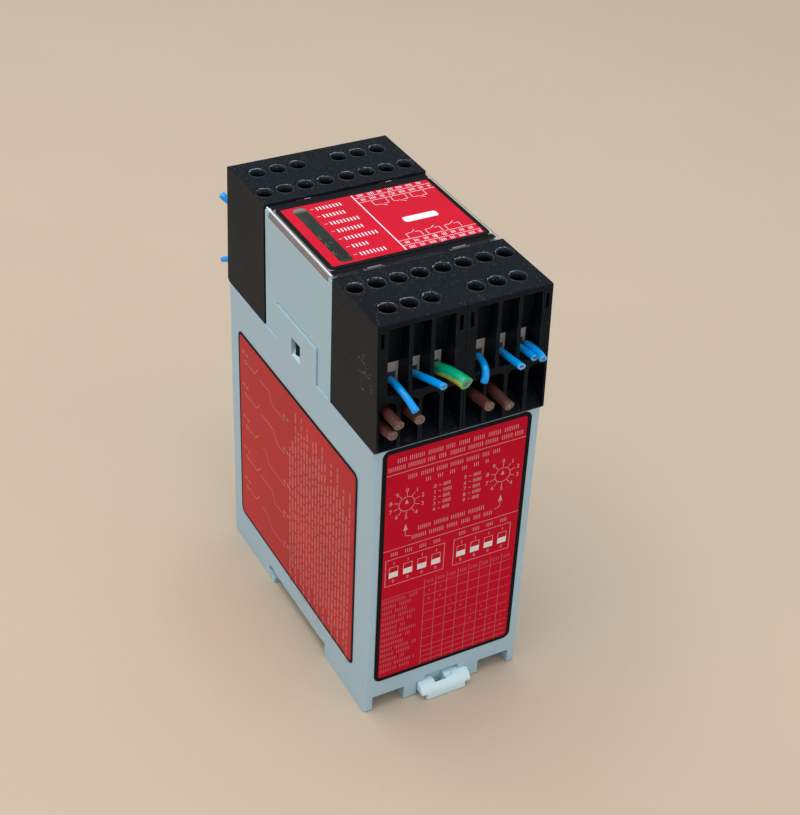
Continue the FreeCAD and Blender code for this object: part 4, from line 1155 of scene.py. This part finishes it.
class RELAY_OT_wires(RelayPiece):
    """Cut wires with pinched ends and copper strands, in place of the plain ones"""
    bl_idname = "relay.wires"
    bl_label = "Wires"

    # in mm: inside the clamp, where the insulation starts, bend, cut end
    runs = {
        ("near_left", "blue"): (
            ((-16.7, -33.9, 95.3), (-16.7, -37.0, 95.3), (-16.3, -43.0, 95.6), (-14.75, -46.4, 91.6)),
            ((-11.2, -33.9, 95.3), (-10.9, -37.0, 95.3), (-9.8, -41.7, 96.5), (-8.35, -47.0, 96.9))),
        ("near_left", "earth"): (
            ((-5.7, -33.9, 95.0), (-5.3, -37.5, 95.3), (-4.5, -43.0, 97.6), (-3.1, -48.0, 96.8)),),
        ("near_left", "brown"): (
            ((-18.7, -24.2, 87.0), (-18.9, -36.0, 88.9), (-19.2, -41.0, 89.3), (-18.8, -46.3, 88.9)),
            ((-20.2, -24.2, 86.1), (-20.1, -36.0, 84.9), (-20.1, -40.0, 84.9), (-19.6, -45.0, 85.6)),
            ((-13.9, -24.2, 86.6), (-13.9, -28.0, 86.9), (-13.8, -39.0, 87.9), (-13.8, -46.6, 89.3))),
        ("near_right", "blue"): (
            ((5.7, -33.9, 95.3), (6.1, -37.0, 95.3), (5.7, -43.2, 95.7), (4.6, -43.0, 91.9)),
            ((11.2, -33.9, 95.3), (11.9, -37.0, 95.2), (12.3, -42.0, 95.4), (11.8, -47.0, 96.6)),
            ((15.8, -33.9, 95.3), (16.8, -38.0, 95.2), (17.5, -41.0, 95.2), (17.5, -43.7, 95.4)),
            ((17.3, -33.9, 95.3), (18.5, -38.0, 95.7), (19.0, -42.0, 96.5), (18.6, -45.5, 95.8))),
        ("near_right", "brown"): (
            ((2.9, -24.2, 86.5), (3.0, -28.0, 86.7), (3.8, -39.0, 86.9), (4.2, -46.9, 87.7)),
            ((8.4, -24.2, 86.5), (8.5, -28.0, 86.6), (8.7, -39.0, 87.2), (9.6, -46.9, 86.2))),
        ("far_left", "blue"): (
            ((-16.7, 33.9, 95.3), (-16.7, 37.0, 95.6), (-17.1, 42.2, 97.0), (-21.5, 47.4, 101.6)),
            ((-19.4, 24.2, 86.9), (-19.5, 28.0, 86.6), (-19.6, 41.4, 85.8), (-22.0, 46.0, 83.2))),
    }
    thickness = {"blue": 1.72, "brown": 2.55, "earth": 3.1}
    spread = {"blue": 0.16, "brown": 0.04, "earth": 0.16}  # how much wider the cutter leaves the end
    bare_share = 0.24  # radius of the bare core as a share of the wire's thickness

    def execute(self, context):
        finishes = {
            "blue": insulation("wire_blue", tint("blue"), 0.2, 0.45),
            "brown": insulation("wire_brown", tint("brown"), 0.4),
            "earth": striped("insulation_earth", tint("green"), tint("yellow")),
        }
        faces = {
            "blue": insulation("cut_blue", (0.10, 0.45, 0.90), 0.6),
            "brown": insulation("cut_brown", (0.20, 0.11, 0.09), 0.6),
            "earth": insulation("cut_green", (0.10, 0.40, 0.25), 0.6),
        }
        copper = metal("tinned_strands", (0.60, 0.55, 0.52), 0.35, (0.20, 0.17, 0.16))
        seed = 400
        for (bay, kind), runs in self.runs.items():
            mesh = bmesh.new()
            for run in runs:
                self.wire(mesh, kind, [Vector(point) for point in run], copper, random.Random(seed))
                seed += 1
            bmesh.ops.recalc_face_normals(mesh, faces=mesh.faces)
            data = baked(mesh, bay + "_" + kind)
            data.transform(Matrix.Scale(MM, 4))
            for finish in (finishes[kind], faces[kind], copper):
                data.materials.append(finish)
            piece = add_piece("cut_wires_" + bay + "_" + kind, data, bay + "_terminals")
            name = bay + ("_earth_wire" if kind == "earth" else "_" + kind + "_wires")
            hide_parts(name)
            if kind == "blue":
                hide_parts(bay + "_wire_cores")
        return {"FINISHED"}

    def wire(self, mesh, kind, run, copper, chance):
        """One wire: the bare core in the clamp, the insulation pinched towards its end, the cut face."""
        tip, start, bend, end = run
        thick, steps, pinched = self.thickness[kind], 16, 4
        path, radii = [start], []
        for i in range(1, steps + 1):
            t = i / steps
            path.append(start * (1 - t) ** 2 + bend * 2 * t * (1 - t) + end * t * t)
        tube(mesh, [tip, start], [(thick * self.bare_share, thick * self.bare_share)] * 2, 2)
        for i in range(steps + 1):
            near_end = max(0.0, (i - steps + pinched) / pinched)
            radii.append((thick / 2 * (1 + self.spread[kind] * near_end), thick / 2 * (1 - 0.14 * near_end)))
        self.cut_end(mesh, tube(mesh, path, radii, 0), thick, copper, chance)

    def cut_end(self, mesh, last, thick, copper, chance):
        """The cut face: a rough pale ring, a shallow hollow and the ends of the strands in it."""
        ring, centre, side, top, ahead = last
        wall, core, wall_share, core_share, hollow = [], [], 0.52, 0.46, 0.25
        for vert in ring:
            vert.co += ahead * chance.uniform(-0.05, 0.07)
            out = vert.co - centre
            wall.append(mesh.verts.new(centre + out * wall_share + ahead * chance.uniform(-0.02, 0.05)))
            core.append(mesh.verts.new(centre + out * core_share - ahead * hollow))
        for face in bridge(mesh, ring, wall) + bridge(mesh, wall, core):
            face.material_index = 1
        mesh.faces.new(core).material_index = 2
        strand = bmesh.new()
        radius = thick * 0.062
        bmesh.ops.create_cone(strand, cap_ends=True, segments=8, radius1=radius, radius2=radius * 0.8,
                              depth=0.34)
        shape = baked(strand, "strand")
        turn = Matrix((side, top, ahead)).transposed().to_4x4()
        for number, (strands, reach) in enumerate(((1, 0.001), (6, thick * 0.14))):
            bundle = repeated(shape.copy(), repeat_tree("repeat_on_ring", True), copper,
                              Count=max(3, strands), Radius=reach)
            turn.translation = centre - ahead * (0.16 - 0.05 * number)
            bundle.transform(turn)
            for polygon in bundle.polygons:
                polygon.material_index = 2
            mesh.from_mesh(bundle)
            bpy.data.meshes.remove(bundle)


class RELAY_OT_inner(RelayPiece):
    """Finish the boards and what they carry"""
    bl_idname = "relay.inner"
    bl_label = "Boards and relays"

    def execute(self, context):
        board = moulding("board_laminate", (0.012, 0.10, 0.035), (0.25, 0.35, 0.2), roughness=0.3,
                         grain=1500.0, wear=0.3, tone=0.25)
        case = moulding("relay_case", (0.05, 0.055, 0.06), (0.3, 0.3, 0.32), roughness=0.3, tone=0.1)
        iron = moulding("varnished_iron", (0.08, 0.075, 0.07), (0.4, 0.38, 0.35), roughness=0.45,
                        grain=900.0, tone=0.3)
        sleeve = moulding("capacitor_wrap", (0.015, 0.02, 0.05), (0.3, 0.3, 0.35), roughness=0.3, tone=0.1)
        lens = moulding("status_lens", (0.10, 0.32, 0.12), (0.5, 0.7, 0.5), roughness=0.2, tone=0.1)
        dress(board, "power_board", "relay_board", "terminal_boards", "switch_board")
        dress(case, *[f"force_guided_relay_{number}" for number in range(1, 5)])
        dress(iron, "transformer")
        dress(sleeve, "capacitors")
        dress(lens, "status_leds")
        return {"FINISHED"}


class RELAY_OT_switches(RelayPiece):
    """Finish the slide switches and the two dials under the cover"""
    bl_idname = "relay.switches"
    bl_label = "Switches"

    def execute(self, context):
        red = moulding("switch_body", (0.36, 0.02, 0.02), (0.7, 0.4, 0.4), roughness=0.45, tone=0.08)
        ivory = moulding("switch_knob", (0.78, 0.77, 0.72), (0.9, 0.9, 0.88), roughness=0.4, tone=0.04)
        dark = moulding("dial_body", (0.03, 0.03, 0.035), (0.3, 0.3, 0.3), roughness=0.4, tone=0.1)
        for side in ("left", "right"):
            dress(red, "dip_switch_" + side)
            dress(dark, "rotary_switch_" + side)
            dress(ivory, "rotary_dial_" + side, *[f"dip_slider_{side}_{number}" for number in range(1, 5)])
        return {"FINISHED"}


class RELAY_OT_stage(RelayPiece):
    """Lay the floor, hang the lamps and set up the camera"""
    bl_idname = "relay.stage"
    bl_label = "Stage"

    # power in watts, edge of the square lamp, place and the point it faces in metres, colour
    lamps = {
        "key": (9.5, 1.1, (-0.15, 0.1, 1.1), (0, 0, 0.06), (1.0, 0.99, 0.97)),
        "front_fill": (5.2, 1.4, (0.3, -1.4, 0.95), (0, 0, 0.05), (0.97, 0.99, 1.0)),
        "side_fill": (2.4, 1.4, (-1.4, -0.3, 0.7), (0, 0, 0.05), (1.0, 0.98, 0.96)),
    }

    def execute(self, context):
        scene = context.scene
        scene.view_settings.view_transform = "Standard"
        sheet = bpy.data.meshes.new("floor")
        reach, level = 3.0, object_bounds()[0].z
        corners = [(reach * x, reach * y, level) for x, y in ((-1, -1), (1, -1), (1, 1), (-1, 1))]
        sheet.from_pydata(corners, [], [(0, 1, 2, 3)])
        sheet.materials.append(paper("floor_paper", tint("floor")))
        floor = placed("floor", sheet)
        floor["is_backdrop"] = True
        world = bpy.data.worlds.new("studio")
        scene.world = world
        world.use_nodes = True
        background = world.node_tree.nodes["Background"]
        background.inputs["Color"].default_value = (0.93, 0.97, 1.0, 1.0)
        background.inputs["Strength"].default_value = 0.46
        for name, settings in self.lamps.items():
            self.lamp(name, *settings)
        self.camera(scene)
        return {"FINISHED"}

    def lamp(self, name, power, size, place, aim, hue):
        light = bpy.data.lights.new(name, "AREA")
        light.energy = power
        light.size = size
        light.color = hue
        lamp = placed(name, light)
        lamp.location = place
        lamp.rotation_euler = (Vector(aim) - Vector(place)).to_track_quat("-Z", "Y").to_euler()

    def camera(self, scene):
        view = bpy.data.cameras.new("camera")
        view.lens = 70.82
        view.sensor_width = 36.0
        view.clip_start, view.clip_end = 0.01, 20.0
        right = Vector((0.88239, -0.46892, 0.03873))
        up = Vector((0.24400, 0.52643, 0.81445))
        back = right.cross(up)
        place = Matrix((right, up, back)).transposed().to_4x4()
        place.translation = Vector((-0.160246, -0.295560, 0.297479))
        camera = placed("camera", view)
        camera.matrix_world = place
        scene.camera = camera


OPERATORS = (RELAY_OT_housing, RELAY_OT_blocks, RELAY_OT_bores, RELAY_OT_scuffs, RELAY_OT_metal,
             RELAY_OT_latch, RELAY_OT_cover, RELAY_OT_cover_print, RELAY_OT_front_print,
             RELAY_OT_side_print, RELAY_OT_wires, RELAY_OT_inner, RELAY_OT_switches, RELAY_OT_stage)


class RELAY_PT_panel(bpy.types.Panel):
    bl_idname = "RELAY_PT_panel"
    bl_label = "Safety relay"
    bl_space_type = "VIEW_3D"
    bl_region_type = "UI"
    bl_category = "Safety relay"

    def draw(self, context):
        layout = self.layout
        for group in (context.scene.relay_sizes, context.scene.relay_colours):
            box = layout.box()
            for key in group.__annotations__:
                box.prop(group, key)
        for operator in OPERATORS:
            layout.operator(operator.bl_idname)


CLASSES = (RelaySizes, RelayColours, *OPERATORS, RELAY_PT_panel)


def register():
    for item in CLASSES:
        bpy.utils.register_class(item)
    bpy.types.Scene.relay_sizes = PointerProperty(type=RelaySizes)
    bpy.types.Scene.relay_colours = PointerProperty(type=RelayColours)


def unregister():
    del bpy.types.Scene.relay_colours
    del bpy.types.Scene.relay_sizes
    for item in reversed(CLASSES):
        bpy.utils.unregister_class(item)


def main():
    register()
    for operator in OPERATORS:
        group, action = operator.bl_idname.split(".")
        getattr(getattr(bpy.ops, group), action)()


if __name__ == "__main__":
    main()
